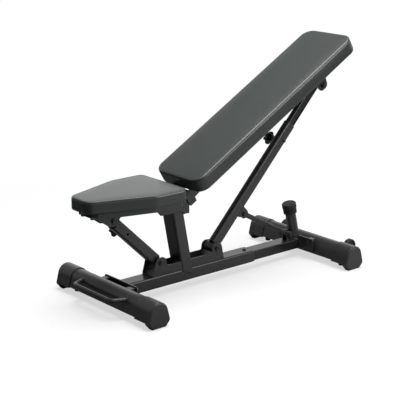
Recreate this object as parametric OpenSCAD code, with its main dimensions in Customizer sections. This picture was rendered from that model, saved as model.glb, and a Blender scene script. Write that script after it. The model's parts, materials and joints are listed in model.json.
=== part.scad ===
// Adjustable weight bench, in millimetres. X runs from the seat end to the head end, Z is up.
// The bench is drawn with x = 0 at the middle of the front base. bench() then moves it, so that
// the origin ends up under the middle of its overall length, on the floor.

/* [Bases] */
// Width of the front and rear base across their end caps
base_width = 576; // [480:2:680]
// Distance from the front base to the rear base
base_spacing = 977; // [940:1:1010]
// Half the width of a base tube at its lower edge
base_half = 44.5; // [40:0.5:50]
// Height of the lower edge of a base tube
base_low = 28; // [24:1:32]
// Height of the top of a base tube
base_top = 91; // [88:1:96]
// Radius of the domed top of a base tube
base_dome = 36; // [32:1:38]
// Wall of a base tube
base_wall = 2.5; // [1.5:0.5:4]
// Wall of the plastic end caps
cap_wall = 3.5; // [2:0.5:5]
// Length of an end cap along the base
cap_length = 86; // [60:1:100]
// Length of the part of an end cap that stands on the floor
cap_stand = 22; // [15:1:30]
// Half the width of an end cap on the floor
cap_stand_half = 30; // [24:1:36]
// Height of the widest line of the part that stands on the floor
cap_stand_wide = 21; // [16:1:24]
// Bevel round the outer face of an end cap
cap_bevel = 5; // [2:1:8]
// Radius of the round rubber feet
foot_r = 11; // [8:1:14]
// Distance of a foot from the end of the base
foot_inset = 74; // [60:1:74]

/* [Carry handle] */
// Radius of the bent rod
handle_rod = 8; // [6:0.5:9]
// Half the distance between the two ends of the handle
handle_half = 134; // [110:1:160]
// Half the length of the gripped bar, up to its bends
handle_grip_half = 114; // [90:1:125]
// How far the gripped bar stands in front of the middle of the base
handle_out = 82; // [76:1:100]
// Height of the handle
handle_z = 71; // [64:1:74]
// Bend radius at the middle of the rod
handle_bend = 26; // [16:1:32]

/* [Beams] */
// Width of the main beam
beam_width = 66; // [60:1:72]
// Height of the main beam
beam_height = 47; // [44:1:50]
// Height of the top face of the main beam
beam_top = 79.5; // [78:0.5:82]
// Wall of the main beam
beam_wall = 2.5; // [2:0.5:3]
// Outer corner radius of the main beam
beam_corner = 6; // [4:0.5:8]
// Rear end of the main beam
beam_end = 662; // [640:1:680]
// Gap between the main beam and the rear beam inside it
rear_beam_gap = 1.5; // [1:0.1:2]
// Wall of the rear beam
rear_beam_wall = 2.5; // [2:0.5:3]
// Front end of the rear beam, inside the main beam
rear_beam_front = 330; // [260:1:380]
// Length of the plastic collar on the end of the main beam
collar_length = 12; // [8:1:20]
// Thickness of the plates that bolt the beams to the bases
flange_t = 5; // [4:0.5:6]
// Half the width of these plates
flange_half = 100; // [88:1:115]
// Height of the top edge of these plates
flange_top = 88; // [85:1:90]
// Distance of their bolts from the middle
flange_bolt_y = 76; // [66:1:84]
// Height of their bolts
flange_bolt_z = 70; // [62:1:72]

/* [Saddle] */
// Front end of the saddle channel
saddle_front = 168; // [160:1:175]
// Rear end of the saddle channel
saddle_rear = 517; // [510:1:525]
// Plate thickness of the saddle
saddle_t = 4; // [3:0.5:4.5]
// Height of the low middle part of its side plates
saddle_web_top = 114; // [100:1:118]
// Front pivot, for the seat strut: distance along the bench
seat_foot_x = 208; // [202:1:214]
// Front pivot: height
seat_foot_z = 129; // [127:1:132]
// Rear pivot, for the back strut: distance along the bench
strut_foot_x = 480; // [474:1:486]
// Rear pivot: height
strut_foot_z = 127.5; // [126:0.5:131]
// Radius of the rounded ears round both pivots
ear_r = 21; // [19:1:23]

/* [Seat post] */
// Depth of the post, along the bench
post_depth = 50; // [42:1:54]
// Wall of the post
post_wall = 3; // [2:0.5:4]
// Forward lean of the post, in degrees
post_lean = 10.9; // [9:0.1:12]
// Where the middle of the post crosses the height post_mark_z
post_mark_x = 309; // [304:1:314]
// Height at which post_mark_x is measured
post_mark_z = 200; // [190:1:210]
// Height of the lower end of its sides, beside the beam
post_low = 66; // [56:1:70]
// How much lower the rear corner of these sides is than the front corner
post_cut = 22; // [0:1:24]
// Height of the top of the post
post_top = 335; // [325:1:340]
// Plate thickness of the head bracket on the post
head_t = 5; // [4:0.5:6]
// Lower edge of the head bracket behind the post
head_low = 299; // [290:1:305]
// Lower edge of the head bracket in front of the post
head_front_low = 312; // [306:1:316]
// Front end of the head bracket
head_front = 189; // [184:1:196]
// Rear end of the head bracket
head_rear = 336; // [332:1:342]

/* [Seat] */
// Rear end of the seat pad
seat_rear = 250.5; // [244:0.5:256]
// Length of the seat pad
seat_length = 383; // [340:1:420]
// Width of the seat pad at the rear
seat_width = 272; // [240:2:300]
// Width of the seat pad at the front, before its corners are rounded
seat_nose = 108; // [96:2:160]
// Length of the straight sides at the rear of the seat pad
seat_straight = 143; // [120:1:170]
// Height of the top of the seat pad
seat_top = 426; // [418:1:434]
// Thickness of the seat pad
seat_thick = 47; // [40:1:54]
// Thickness of the board under the seat pad
seat_board_t = 17; // [14:1:20]
// How much shorter the board is than the pad, at the front
seat_board_back = 42; // [30:1:60]
// Depth of the seat hinge under the bottom of the board
seat_hinge_drop = 4; // [2:0.5:6]
// Distance of the seat hinge along the bench
seat_hinge_x = 290; // [284:1:293]
// Distance along the bench of the upper pivot of the seat strut
seat_lug_x = -1; // [-8:1:6]
// Depth of that pivot under the bottom of the board
seat_lug_drop = 33; // [30:1:36]
// Thickness of the seat's steel plates
seat_frame_t = 4; // [3:0.5:5]
// Half the width of the seat's steel channel
seat_frame_half = 31; // [30:0.5:34]
// Width of the steel strips that carry the front screws of the seat board
seat_front_strip = 124; // [100:2:130]
// Width of the strips that carry the rear screws
seat_rear_strip = 184; // [160:2:200]
// Length of these strips, along the bench
seat_strip_length = 34; // [28:1:40]
// Travel of the seat strut when the seat is raised
seat_travel = 56; // [40:1:60]

/* [Back] */
// Distance along the bench of the lower end of the back pad's top face
back_low_x = 300.8; // [296:0.2:306]
// Height of the lower end of the back pad's top face
back_low_z = 437.5; // [433:0.5:443]
// Angle of the back, in degrees above flat
back_angle = 29.9; // [27:0.1:33]
// Length of the back pad
back_length = 909; // [860:1:950]
// Width of the back pad
back_width = 250; // [230:2:280]
// Thickness of the back pad
back_thick = 56.5; // [50:0.5:62]
// Corner radius of the back pad, seen from above
back_corner = 45; // [25:1:60]
// Distance of the back hinge beyond the lower end of the pad
back_hinge_out = 12; // [12:0.5:16]
// Depth of the back hinge under the pad
back_hinge_drop = 4; // [3:0.5:6]
// Distance up the pad of the upper strut pivot
strut_top_along = 752; // [730:1:780]
// Depth of the upper strut pivot under the pad
strut_top_drop = 75; // [68:1:84]
// Width of a back rail
rail_width = 25; // [20:1:30]
// Depth of a back rail
rail_depth = 35; // [31:1:40]
// Distance up the pad at which the rails start
rail_start = 60; // [50:1:70]
// Wall of a back rail
rail_wall = 2; // [1.5:0.5:3]
// Plate thickness of the hinge plates and strut ears on the rails
back_plate_t = 5; // [4:0.5:6]
// Thickness of the board inside the back pad
board_t = 12; // [9:1:15]

/* [Back strut] */
// Width of the outer tube, across the bench
strut_w = 31; // [29:0.5:34]
// Depth of the outer tube
strut_h = 48; // [45:0.5:50]
// Wall of the outer tube
strut_wall = 2; // [1.5:0.5:2.5]
// Corner radius of the outer tube
strut_corner = 12; // [8:0.5:14]
// Length from the lower pivot to the end of the outer tube
strut_length = 585; // [560:1:610]
// Width of the inner tube
inner_w = 24; // [22:0.5:24.5]
// Depth of the inner tube
inner_h = 36; // [33:0.5:38]
// Wall of the inner tube
inner_wall = 2; // [1.5:0.5:2.5]
// How far the inner tube reaches into the outer tube
inner_inside = 330; // [300:1:360]
// Corner radius of the inner tube
inner_corner = 5; // [3:0.5:7]
// Length of the plastic ring on the end of the outer tube
guide_ring = 4; // [3:1:8]
// Length of the plastic guide in the mouth of the outer tube
guide_length = 55; // [40:1:60]
// Distance of the pull pin below the end of the outer tube
pin_below_end = 80; // [72:1:90]
// How far the strut shortens when the back is laid flat
strut_shorten = 143; // [120:1:150]
// How far the strut lengthens when the back is raised
strut_lengthen = 215; // [190:1:220]
// Number of locking holes in the inner tube
lock_holes = 6; // [4:1:8]

/* [Seat strut] */
// Width of the outer tube of the seat strut
seat_strut_w = 40; // [36:0.5:44]
// Depth of the outer tube of the seat strut
seat_strut_h = 42; // [38:0.5:44]
// Corner radius of the outer tube of the seat strut
seat_strut_corner = 8; // [5:0.5:10]
// Wall of both tubes of the seat strut
seat_strut_wall = 2.5; // [2:0.5:3]
// Gap between the two tubes of the seat strut
seat_strut_gap = 1.2; // [0.8:0.1:1.5]
// Length from the lower pivot to the end of the outer tube
seat_strut_length = 260; // [250:1:262]
// How far the inner tube reaches into the outer tube
seat_inner_inside = 180; // [150:1:190]
// Distance of the pull pin below the end of the outer tube
seat_pin_below_end = 64; // [58:1:70]

/* [Base link] */
// Distance up the strut of the link's pivot
link_lug_along = 183; // [178:1:188]
// Depth of the link's pivot under the middle of the strut
link_lug_drop = 42; // [42:1:46]
// Distance from the rear base forward to the link's rear pivot
link_end_back = 94.5; // [93.5:0.5:98]
// Height of the link's rear pivot
link_end_z = 97.5; // [96:0.5:100]
// Depth of the link
link_h = 20; // [16:1:22]
// Width of the link, across the bench
link_w = 17; // [14:0.5:18]
// Corner radius of the link
link_corner = 5; // [3:0.5:7]
// Radius of the link's end at its front pivot
link_front_r = 15.5; // [13:0.5:16]
// Thickness of the plates that hold both ends of the link
link_plate_t = 4; // [3:0.5:5]
// Radius of the ears of its front pivot
link_ear_r = 18; // [16:0.5:20]
// Radius of the bracket plates round its rear pivot
link_plate_r = 15.5; // [13:0.5:17]

/* [Rest post] */
// Radius of the post
rest_r = 21.5; // [18:0.5:24]
// Distance from the rear base forward to the middle of the post's foot
rest_back = 55; // [52:1:60]
// Forward lean of the post, in degrees
rest_lean = 13; // [8:0.5:16]
// Height of the top of the post's cap
rest_top = 227; // [210:1:235]
// Radius of the rubber cap
rest_cap_r = 29; // [26:0.5:32]
// Length of the rubber cap
rest_cap_length = 44; // [36:1:50]

/* [Wheels] */
// Radius of the transport wheels
wheel_r = 28; // [24:1:32]
// Width of a wheel
wheel_w = 22; // [18:1:26]
// Distance of a wheel's middle from the end cap
wheel_inset = 20; // [18:1:40]
// Distance of the wheel axle behind the rear base
wheel_out = 78; // [76:1:84]
// Height of the wheel axle
wheel_z = 57; // [52:1:60]

/* [Pins and bolts] */
// Radius of the large pivot bolts
bolt_r = 6; // [5:0.5:7]
// Radius of the small bolts
small_bolt_r = 4; // [3:0.5:5]
// Running clearance of a bolt in a turning piece
run_gap = 0.08; // [0.05:0.01:0.1]
// Side gap between pieces that turn against each other
side_gap = 0.8; // [0.5:0.1:1.2]
// Radius of the pull pins
pin_r = 5; // [4:0.5:6]
// Travel of the pull pins
pin_travel = 12; // [8:1:14]
// Radius of the star knobs over their lobes
knob_r = 27; // [22:1:28]
// Length of the star knobs
knob_w = 22; // [18:1:26]

/* [Hidden] */
$fn = 64;
steel_black = "#242526";
steel_inner = "#1d1e1f";
plastic_black = "#1b1c1d";
rubber_black = "#161617";
vinyl_grey = "#59605e";
bolt_black = "#2c2d2e";
board_brown = "#2a2624";

// Overall length, and the middle of it
back_axis = [cos(back_angle), sin(back_angle)];
back_normal = [-sin(back_angle), cos(back_angle)];
length_front = seat_rear - seat_length;
length_rear = back_low_x + back_length * back_axis.x - back_thick * back_normal.x;
length_mid = (length_front + length_rear) / 2;

// Base tubes and caps
base_half_width = base_width / 2;
wheel_y = base_half_width - cap_length - wheel_inset;
dome_z = base_top - base_dome;
skin = 0.3;

// Beams
rear_beam_width = beam_width - 2 * (beam_wall + rear_beam_gap);
rear_beam_height = beam_height - 2 * (beam_wall + rear_beam_gap);
rear_beam_corner = beam_corner - beam_wall;
beam_mid_z = beam_top - beam_height / 2;
rear_beam_top = beam_mid_z + rear_beam_height / 2;
flange_face = base_half + 0.5;
flange_low = beam_top - beam_height;

// Saddle and post
saddle_half = beam_width / 2;
saddle_inner = saddle_half - saddle_t;
foot_bush_half = saddle_inner - side_gap;
seat_foot = [seat_foot_x, seat_foot_z];
strut_foot = [strut_foot_x, strut_foot_z];
post_width = beam_width + 2 * post_wall;
post_corner = 8;
head_inner = post_width / 2;
head_outer = head_inner + head_t;

// Seat
seat_low = seat_top - seat_thick - seat_board_t;
seat_hinge = [seat_hinge_x, seat_low - seat_hinge_drop];
seat_lug = [seat_lug_x, seat_low - seat_lug_drop];
seat_bush_half = seat_frame_half - seat_frame_t - side_gap;
seat_strut_vector = seat_lug - seat_foot;
seat_strut_reach = norm(seat_strut_vector);
seat_strut_angle = atan2(seat_strut_vector.y, seat_strut_vector.x);
seat_inner_w = seat_strut_w - 2 * (seat_strut_wall + seat_strut_gap);
seat_inner_h = seat_strut_h - 2 * (seat_strut_wall + seat_strut_gap);
seat_pin_along = seat_strut_length - seat_pin_below_end;
seat_lug_play = 1.4;

// Back. A place on the back is [distance up the pad, height over the underside of the pad]
back_under = [back_low_x, back_low_z] - back_thick * back_normal;
function on_back_point(p) = back_under + p.x * back_axis + p.y * back_normal;
back_hinge_local = [-back_hinge_out, -back_hinge_drop];
back_hinge = on_back_point(back_hinge_local);
strut_top_local = [strut_top_along, -strut_top_drop];
strut_top = on_back_point(strut_top_local);
hinge_plate_inner = head_outer + side_gap;
hinge_plate_outer = hinge_plate_inner + back_plate_t;
rail_inner = hinge_plate_outer;
rail_end = back_length - 100;
board_inset = 14;

// Back strut
strut_vector = strut_top - strut_foot;
strut_reach = norm(strut_vector);
strut_angle = atan2(strut_vector.y, strut_vector.x);
eye_half = 20;
eye_r = 15;
bush_r = 19;
seat_bush_r = 16;
pin_along = strut_length - pin_below_end;
guide_screw = [pin_along + 8, -11];
slot_w = 7.5;
link_lug_local = [link_lug_along, -link_lug_drop];
strut_dir = [cos(strut_angle), sin(strut_angle)];
strut_up = [-sin(strut_angle), cos(strut_angle)];
link_front = strut_foot + link_lug_local.x * strut_dir + link_lug_local.y * strut_up;
link_end = [base_spacing - link_end_back, link_end_z];
link_vector = link_end - link_front;
link_reach = norm(link_vector);
link_angle = atan2(link_vector.y, link_vector.x);
link_half = link_w / 2;
link_plate_inner = link_half + side_gap;
link_plate_outer = link_plate_inner + link_plate_t;

// Pull pins: housing, nose and knob, as distances from the middle of the bench
housing_r = 10;
housing_length = 24;
pin_gap = 0.3;
knob_gap = 3;

// Moves the bench from the front base to the middle of its length
module bench() translate([-length_mid, 0, 0]) children();
// Turns a drawing in the plane of X and Z into a plate between two places across the bench
module plate(y0, y1) translate([0, y1, 0]) rotate([90, 0, 0]) linear_extrude(y1 - y0) children();
// Stretches a section, drawn across the bench and upwards, along X
module along_x(x0, x1) translate([x0, 0, 0]) rotate([90, 0, 90]) linear_extrude(x1 - x0) children();
// Round bar across the bench, at a place in the plane of X and Z
module bar_y(p, r, y0, y1) translate([p.x, y0, p.y]) rotate([-90, 0, 0]) cylinder(r = r, h = y1 - y0);
// Moves a piece drawn along X to a place and tilt in the plane of X and Z
module tilted(p, angle) translate([p.x, 0, p.y]) rotate([0, -angle, 0]) children();
module on_back() tilted(back_under, back_angle) children();
module on_strut() tilted(strut_foot, strut_angle) children();
module on_seat_strut() tilted(seat_foot, seat_strut_angle) children();
// A piece and its mirror image on the other side of the bench
module both_sides() {
    children();
    mirror([0, 1, 0]) children();
}

// Points of an arc that replaces the corner c between p and q
function unit(v) = v / norm(v);
function corner_arc(p, c, q, r, n) =
    let(u = unit(p - c), w = unit(q - c), half = acos(u * w) / 2)
    let(centre = c + unit(u + w) * r / sin(half), start = c + u * r / tan(half) - centre)
    let(a0 = atan2(start.y, start.x), turn = cross(c - p, q - c) > 0 ? 1 : -1)
    [for (i = [0:n]) centre + r * [
        cos(a0 + turn * (180 - 2 * half) * i / n),
        sin(a0 + turn * (180 - 2 * half) * i / n)
    ]];
// Outline through corners given as [x, y, corner radius]
function rounded(corners, n = 7) = [
    for (i = [0:len(corners) - 1])
        let(m = len(corners), c = corners[i], p = corners[(i + m - 1) % m], q = corners[(i + 1) % m])
        each (c.z > 0 ? corner_arc([p.x, p.y], [c.x, c.y], [q.x, q.y], c.z, n) : [[c.x, c.y]])
];
function box_outline(w, h, r) =
    rounded([[-w / 2, -h / 2, r], [w / 2, -h / 2, r], [w / 2, h / 2, r], [-w / 2, h / 2, r]]);
module box_section(w, h, r, wall) difference() {
    polygon(box_outline(w, h, r));
    polygon(box_outline(w - 2 * wall, h - 2 * wall, max(r - wall, 0.8)));
}

// Arch-shaped section of a base: sloping sides that run into a domed top, grown evenly by g
function arch(g, low) =
    let(side = [base_half + g, base_low - g], centre = [0, dome_z], r = base_dome + g)
    let(d = norm(side - centre), a = atan2(side.y - centre.y, side.x - centre.x) + acos(r / d))
    let(n = 20)
    concat(
        [[-side.x, low], [side.x, low]],
        low < side.y ? [[side.x, side.y]] : [],
        [for (i = [0:n]) centre + r * [cos(a + (180 - 2 * a) * i / n), sin(a + (180 - 2 * a) * i / n)]],
        low < side.y ? [[-side.x, side.y]] : []
    );
// Stretches a section, drawn along the bench and upwards, across the bench
module across(x, y0, y1) translate([x, 0, 0]) plate(y0, y1) children();

// ---------------------------------------------------------------- bases

module base_tube(x, rearward) {
    half = base_half_width - cap_wall - skin;
    difference() {
        across(x, -half, half) polygon(arch(0, base_low));
        across(x, -half - 1, half + 1) polygon(arch(-base_wall, base_low + base_wall));
        flange_bolt_holes(x, rearward);
    }
    // Welded pads that carry the flange bolts
    for (side = [-1, 1]) difference() {
        across(x, side * flange_bolt_y - 13, side * flange_bolt_y + 13) difference() {
            translate([rearward > 0 ? base_dome * 0.6 : -flange_face, flange_bolt_z - 16])
                square([flange_face - base_dome * 0.6, 30]);
            polygon(arch(0, base_low));
        }
        flange_bolt_holes(x, rearward);
    }
}
module flange_bolt_holes(x, rearward)
    for (side = [-1, 1])
        translate([x + rearward * (flange_face + 8), side * flange_bolt_y, flange_bolt_z])
            rotate([0, -90 * rearward, 0]) cylinder(r = small_bolt_r + run_gap, h = 40);

module base_caps(x) both_sides() {
    outer = base_half_width;
    inner = outer - cap_length;
    difference() {
        union() {
            across(x, inner, outer - cap_bevel) polygon(arch(cap_wall, base_low - cap_wall));
            across(x, outer - cap_stand, outer - cap_bevel) cap_stand_outline(0);
            hull() {
                across(x, outer - cap_bevel, outer - cap_bevel + 0.01) cap_end_outline(0);
                across(x, outer - 0.01, outer) cap_end_outline(cap_bevel);
            }
            // Lug that carries the rubber foot
            translate([x - foot_r - 4, outer - foot_inset - foot_r, base_low - cap_wall - 10])
                cube([2 * foot_r + 8, 2 * foot_r, 10.5]);
        }
        across(x, inner - 1, outer - cap_wall) polygon(arch(0.05, base_low - 0.05));
        translate([x, outer - foot_inset, -1]) cylinder(r = small_bolt_r, h = base_low);
    }
}
module cap_stand_outline(inset) polygon([
    [-cap_stand_half + inset, inset / 2],
    [cap_stand_half - inset, inset / 2],
    [base_half + cap_wall - inset, cap_stand_wide],
    [base_half + cap_wall - inset, base_low],
    [-base_half - cap_wall + inset, base_low],
    [-base_half - cap_wall + inset, cap_stand_wide]
]);
module cap_end_outline(inset) union() {
    polygon(arch(cap_wall - inset, base_low - 1));
    cap_stand_outline(inset);
}

module base_feet(x) both_sides() translate([x, base_half_width - foot_inset, 0]) union() {
    cylinder(r1 = foot_r - 1.5, r2 = foot_r, h = 3);
    translate([0, 0, 3]) cylinder(r = foot_r, h = base_low - cap_wall - 13.3);
    cylinder(r = small_bolt_r - 0.2, h = base_low - cap_wall);
}

module flange_plate(x) difference() {
    translate([x, 0, 0]) along_x(0, flange_t) difference() {
        translate([0, (flange_top + flange_low) / 2])
            polygon(box_outline(2 * flange_half, flange_top - flange_low, 8));
        for (side = [-1, 1]) translate([side * flange_bolt_y, flange_bolt_z])
            circle(r = small_bolt_r + run_gap);
    }
}
module flange_bolt_pair(x, direction) for (side = [-1, 1])
    translate([x, side * flange_bolt_y, flange_bolt_z]) rotate([0, 90 * direction, 0]) {
        translate([0, 0, -26]) cylinder(r = small_bolt_r, h = 26);
        cylinder(r = 2 * small_bolt_r + 1, h = 1.6);
        translate([0, 0, 1.6]) cylinder(r = 1.8 * small_bolt_r, h = 5, $fn = 6);
    }

module front_base_tube() color(steel_black) bench() base_tube(0, 1);
module front_caps() color(plastic_black) bench() base_caps(0);
module front_feet() color(rubber_black) bench() base_feet(0);
module front_flange() color(steel_black) bench() flange_plate(flange_face);
module front_flange_bolts() color(bolt_black) bench()
    flange_bolt_pair(flange_face + flange_t, 1);

// Rod bent to a shallow U in one level plane, with its ends cut to the face of the base tube
handle_root_x = -sqrt(base_dome * base_dome - (handle_z - dome_z) * (handle_z - dome_z));
module carry_handle() color(steel_black) bench() {
    ends = [handle_root_x + 1, handle_half];
    corner = [-handle_out, handle_grip_half];
    leg = unit(ends - corner);
    turn = acos(leg * [0, -1]);
    cut = handle_bend * tan((180 - turn) / 2);
    leg_angle = atan2(leg.y, leg.x);
    difference() {
        translate([0, 0, handle_z]) union() {
            translate([-handle_out, -handle_grip_half + cut, 0]) rotate([-90, 0, 0])
                cylinder(r = handle_rod, h = 2 * (handle_grip_half - cut));
            both_sides() {
                translate([-handle_out + handle_bend, handle_grip_half - cut, 0])
                    rotate([0, 0, leg_angle + 90]) rotate_extrude(angle = 90 - leg_angle)
                        translate([handle_bend, 0]) circle(r = handle_rod);
                translate([corner.x + leg.x * cut, corner.y + leg.y * cut, 0])
                    rotate([0, 0, leg_angle]) rotate([0, 90, 0])
                        cylinder(r = handle_rod, h = norm(ends - corner) - cut + handle_rod);
            }
        }
        across(0, -base_half_width, base_half_width) polygon(arch(0, base_low));
    }
}

// ---------------------------------------------------------------- beams

module main_beam() color(steel_black) bench() difference() {
    translate([0, 0, beam_mid_z]) along_x(flange_face + flange_t, beam_end)
        box_section(beam_width, beam_height, beam_corner, beam_wall);
    translate([beam_end - 14, 0, beam_top - beam_wall - 1]) cylinder(r = small_bolt_r, h = beam_wall + 2);
}
// Plastic collar: a rim on the end of the main beam and a sleeve in the gap round the rear beam
module beam_collar() color(plastic_black) bench() difference() {
    translate([0, 0, beam_mid_z]) along_x(beam_end, beam_end + collar_length)
        polygon(box_outline(beam_width - 2, beam_height - 2, beam_corner - 1));
    translate([0, 0, beam_mid_z]) along_x(beam_end - 1, beam_end + collar_length + 1)
        polygon(box_outline(rear_beam_width + 0.6, rear_beam_height + 0.6, rear_beam_corner + 0.3));
}
module beam_guide_screw() color(bolt_black) bench() translate([beam_end - 14, 0, beam_top]) {
    cylinder(r = 2 * small_bolt_r, h = 4.5, $fn = 6);
    translate([0, 0, -beam_wall - rear_beam_gap + 0.4])
        cylinder(r = small_bolt_r - 0.1, h = beam_wall + rear_beam_gap);
}
module rear_beam() color(steel_inner) bench() translate([0, 0, beam_mid_z])
    along_x(rear_beam_front, base_spacing - flange_face - flange_t)
        box_section(rear_beam_width, rear_beam_height, rear_beam_corner, rear_beam_wall);
module rear_flange() color(steel_black) bench() difference() {
    flange_plate(base_spacing - flange_face - flange_t);
    leaning_post() rest_post_clearance();
}
module rear_flange_bolts() color(bolt_black) bench()
    flange_bolt_pair(base_spacing - flange_face - flange_t, -1);
module rear_base_tube() color(steel_black) bench() base_tube(base_spacing, -1);
module rear_caps() color(plastic_black) bench() base_caps(base_spacing);
module rear_feet() color(rubber_black) bench() base_feet(base_spacing);

// ---------------------------------------------------------------- saddle, post and head

module saddle_side() polygon(rounded([
    [saddle_front, beam_top, 0],
    [saddle_rear, beam_top, 0],
    [saddle_rear - 6, beam_top + 14, 10],
    [strut_foot_x + ear_r * 0.98, strut_foot_z + ear_r, ear_r * 0.9],
    [strut_foot_x - ear_r * 0.98, strut_foot_z + ear_r, ear_r * 0.9],
    [strut_foot_x - ear_r - 6, saddle_web_top, 6],
    [seat_foot_x + ear_r + 6, saddle_web_top, 6],
    [seat_foot_x + ear_r * 0.98, seat_foot_z + ear_r, ear_r * 0.9],
    [seat_foot_x - ear_r * 0.98, seat_foot_z + ear_r, ear_r * 0.9],
    [saddle_front + 4, beam_top + 14, 8]
]));
module saddle_bracket() color(steel_black) bench() difference() {
    union() {
        both_sides() plate(saddle_inner, saddle_half) saddle_side();
        translate([saddle_front, -saddle_inner, beam_top])
            cube([saddle_rear - saddle_front, 2 * saddle_inner, saddle_t]);
    }
    bar_y(seat_foot, bolt_r + run_gap, -saddle_half - 1, saddle_half + 1);
    bar_y(strut_foot, bolt_r + run_gap, -saddle_half - 1, saddle_half + 1);
}

// The side walls of the post run down past the saddle and are welded to the sides of the beam
// Place of the middle of the post at a height
function post_x(z) = post_mark_x - (z - post_mark_z) * tan(post_lean);
post_reach = 3 * post_depth;
post_slope = post_cut / post_depth * cos(post_lean);
module seat_post() color(steel_black) bench() difference() {
    translate([post_mark_x, 0, post_mark_z]) rotate([0, -post_lean, 0])
        translate([0, 0, -post_mark_z]) linear_extrude(post_top + post_depth)
            box_section(post_depth, post_width, post_corner, post_wall);
    // The sides end beside the beam, lower at the rear
    plate(-post_width, post_width) translate([post_x(post_low), post_low]) polygon([
        [-post_reach, post_reach * post_slope],
        [post_reach, -post_reach * post_slope],
        [post_reach, -post_top],
        [-post_reach, -post_top]
    ]);
    translate([post_x(post_top) - post_reach, -post_width, post_top])
        cube([2 * post_reach, 2 * post_width, post_reach]);
    translate([post_mark_x - post_reach, -saddle_half, -post_depth])
        cube([2 * post_reach, 2 * saddle_half, saddle_web_top + skin + post_depth]);
    plate(-saddle_half, saddle_half) translate([0, skin]) saddle_side();
}

// The ears of the back hinge stay inside the circle that the lower end of the back turns through
head_r = norm(back_hinge_local) - 1;
head_step = post_x(head_low) + 10;
seat_plate_gap = 9;
module head_plate() polygon(rounded([
    [head_front + 13, head_front_low, 4],
    [head_step, head_front_low, 3],
    [head_step + 12, head_low, 4],
    [head_rear, head_low, 3],
    [head_rear, head_front_low + 14, 6],
    [back_hinge.x + head_r, back_hinge.y - 8, 10],
    [back_hinge.x + head_r, back_hinge.y + head_r, head_r - 0.3],
    [back_hinge.x - head_r, back_hinge.y + head_r, head_r - 0.3],
    [back_hinge.x - head_r, seat_hinge.y + 22, 6],
    [seat_hinge.x - 16, seat_hinge.y + 12, 10],
    [seat_hinge.x - 22, seat_low - seat_plate_gap, 6],
    [head_front, seat_low - seat_plate_gap, 4],
    [head_front, head_front_low + 15, 6]
]));
module head_bracket() color(steel_black) bench() difference() {
    union() {
        both_sides() plate(head_inner, head_outer) head_plate();
        // Spacer tube between the plates, round the hinge bolt of the back
        bar_y(back_hinge, bolt_r + 4, -head_inner, head_inner);
    }
    bar_y(back_hinge, bolt_r + run_gap, -head_outer - 1, head_outer + 1);
    bar_y(seat_hinge, bolt_r + run_gap, -head_outer - 1, head_outer + 1);
}

// Bolt across the bench: shank, head and washer on one side, nut and washer on the other
module cross_bolt(p, r, half) {
    bar_y(p, r, -half - 2, half + 1.8 * r);
    bar_y(p, 1.9 * r, -half - 1.5, -half);
    bar_y(p, 1.9 * r, half, half + 1.5);
    translate([0, -half - 1.5, 0]) hex_y(p, 1.75 * r, -1.1 * r);
    translate([0, half + 1.5, 0]) hex_y(p, 1.75 * r, 1.3 * r);
}
module hex_y(p, r, h) translate([p.x, min(h, 0), p.y]) rotate([-90, 0, 0])
    cylinder(r = r, h = abs(h), $fn = 6);

module seat_hinge_bolt() color(bolt_black) bench() cross_bolt(seat_hinge, bolt_r, head_outer);
module back_hinge_bolt() color(bolt_black) bench()
    cross_bolt(back_hinge, bolt_r, hinge_plate_outer + side_gap / 2);
module seat_strut_foot_bolt() color(bolt_black) bench() cross_bolt(seat_foot, bolt_r, saddle_half);
module back_strut_foot_bolt() color(bolt_black) bench() cross_bolt(strut_foot, bolt_r, saddle_half);

// ---------------------------------------------------------------- rest post, link bracket, wheels

rest_foot = [base_spacing - rest_back, rear_beam_top];
// Puts a piece drawn upwards on the foot of the rest post, leaning as the post does
module leaning_post() translate([rest_foot.x, 0, rest_foot.y]) rotate([0, -rest_lean, 0]) children();
// Room that the flange and the link's bracket leave round the post, down past its slanting foot
module rest_post_clearance() translate([0, 0, -rest_r]) cylinder(r = rest_r + skin, h = rest_length);
module rest_post() color(steel_black) bench() difference() {
    leaning_post() translate([0, 0, -20])
        difference() {
            cylinder(r = rest_r, h = rest_length + 20 - rest_cap_top);
            translate([0, 0, -1]) cylinder(r = rest_r - 2.5, h = rest_length + 60);
        }
    translate([rest_foot.x - 60, -60, rear_beam_top - 60]) cube([120, 120, 60]);
}
rest_length = (rest_top - rear_beam_top) / cos(rest_lean);
rest_cap_top = 6;
// Rubber cap with ribs round its lower part
module rest_post_cap() color(rubber_black) bench()
    leaning_post() translate([0, 0, rest_length - rest_cap_length]) rotate_extrude() polygon(concat(
            [[rest_r + 0.05, 0]],
            [for (i = [0:5]) each [
                [rest_cap_r - 3, 2 + 3.4 * i - 0.8], [rest_cap_r - 1.6, 2 + 3.4 * i],
                [rest_cap_r - 1.6, 2 + 3.4 * i + 1.6], [rest_cap_r - 3, 2 + 3.4 * i + 2.2]
            ]],
            [[rest_cap_r - 3, 23], [rest_cap_r, 24.5], [rest_cap_r, rest_cap_length - 3]],
            [[rest_cap_r - 3, rest_cap_length], [0, rest_cap_length]],
            [[0, rest_cap_length - rest_cap_top + 0.05], [rest_r + 0.05, rest_cap_length - rest_cap_top + 0.05]]
        ));

link_bolt = [link_end.x + 8, rear_beam_top + 8.5];
module link_bracket() color(steel_black) bench() difference() {
    both_sides() plate(link_plate_inner, link_plate_outer) polygon(rounded([
        [link_end.x - link_plate_r, rear_beam_top, 0],
        [link_end.x + link_plate_r, rear_beam_top, 0],
        [link_end.x + link_plate_r, link_end.y + link_plate_r, link_plate_r - 1],
        [link_end.x - link_plate_r, link_end.y + link_plate_r, link_plate_r - 1]
    ]));
    bar_y(link_end, bolt_r + run_gap, -link_plate_outer - 1, link_plate_outer + 1);
    leaning_post() rest_post_clearance();
}
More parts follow.
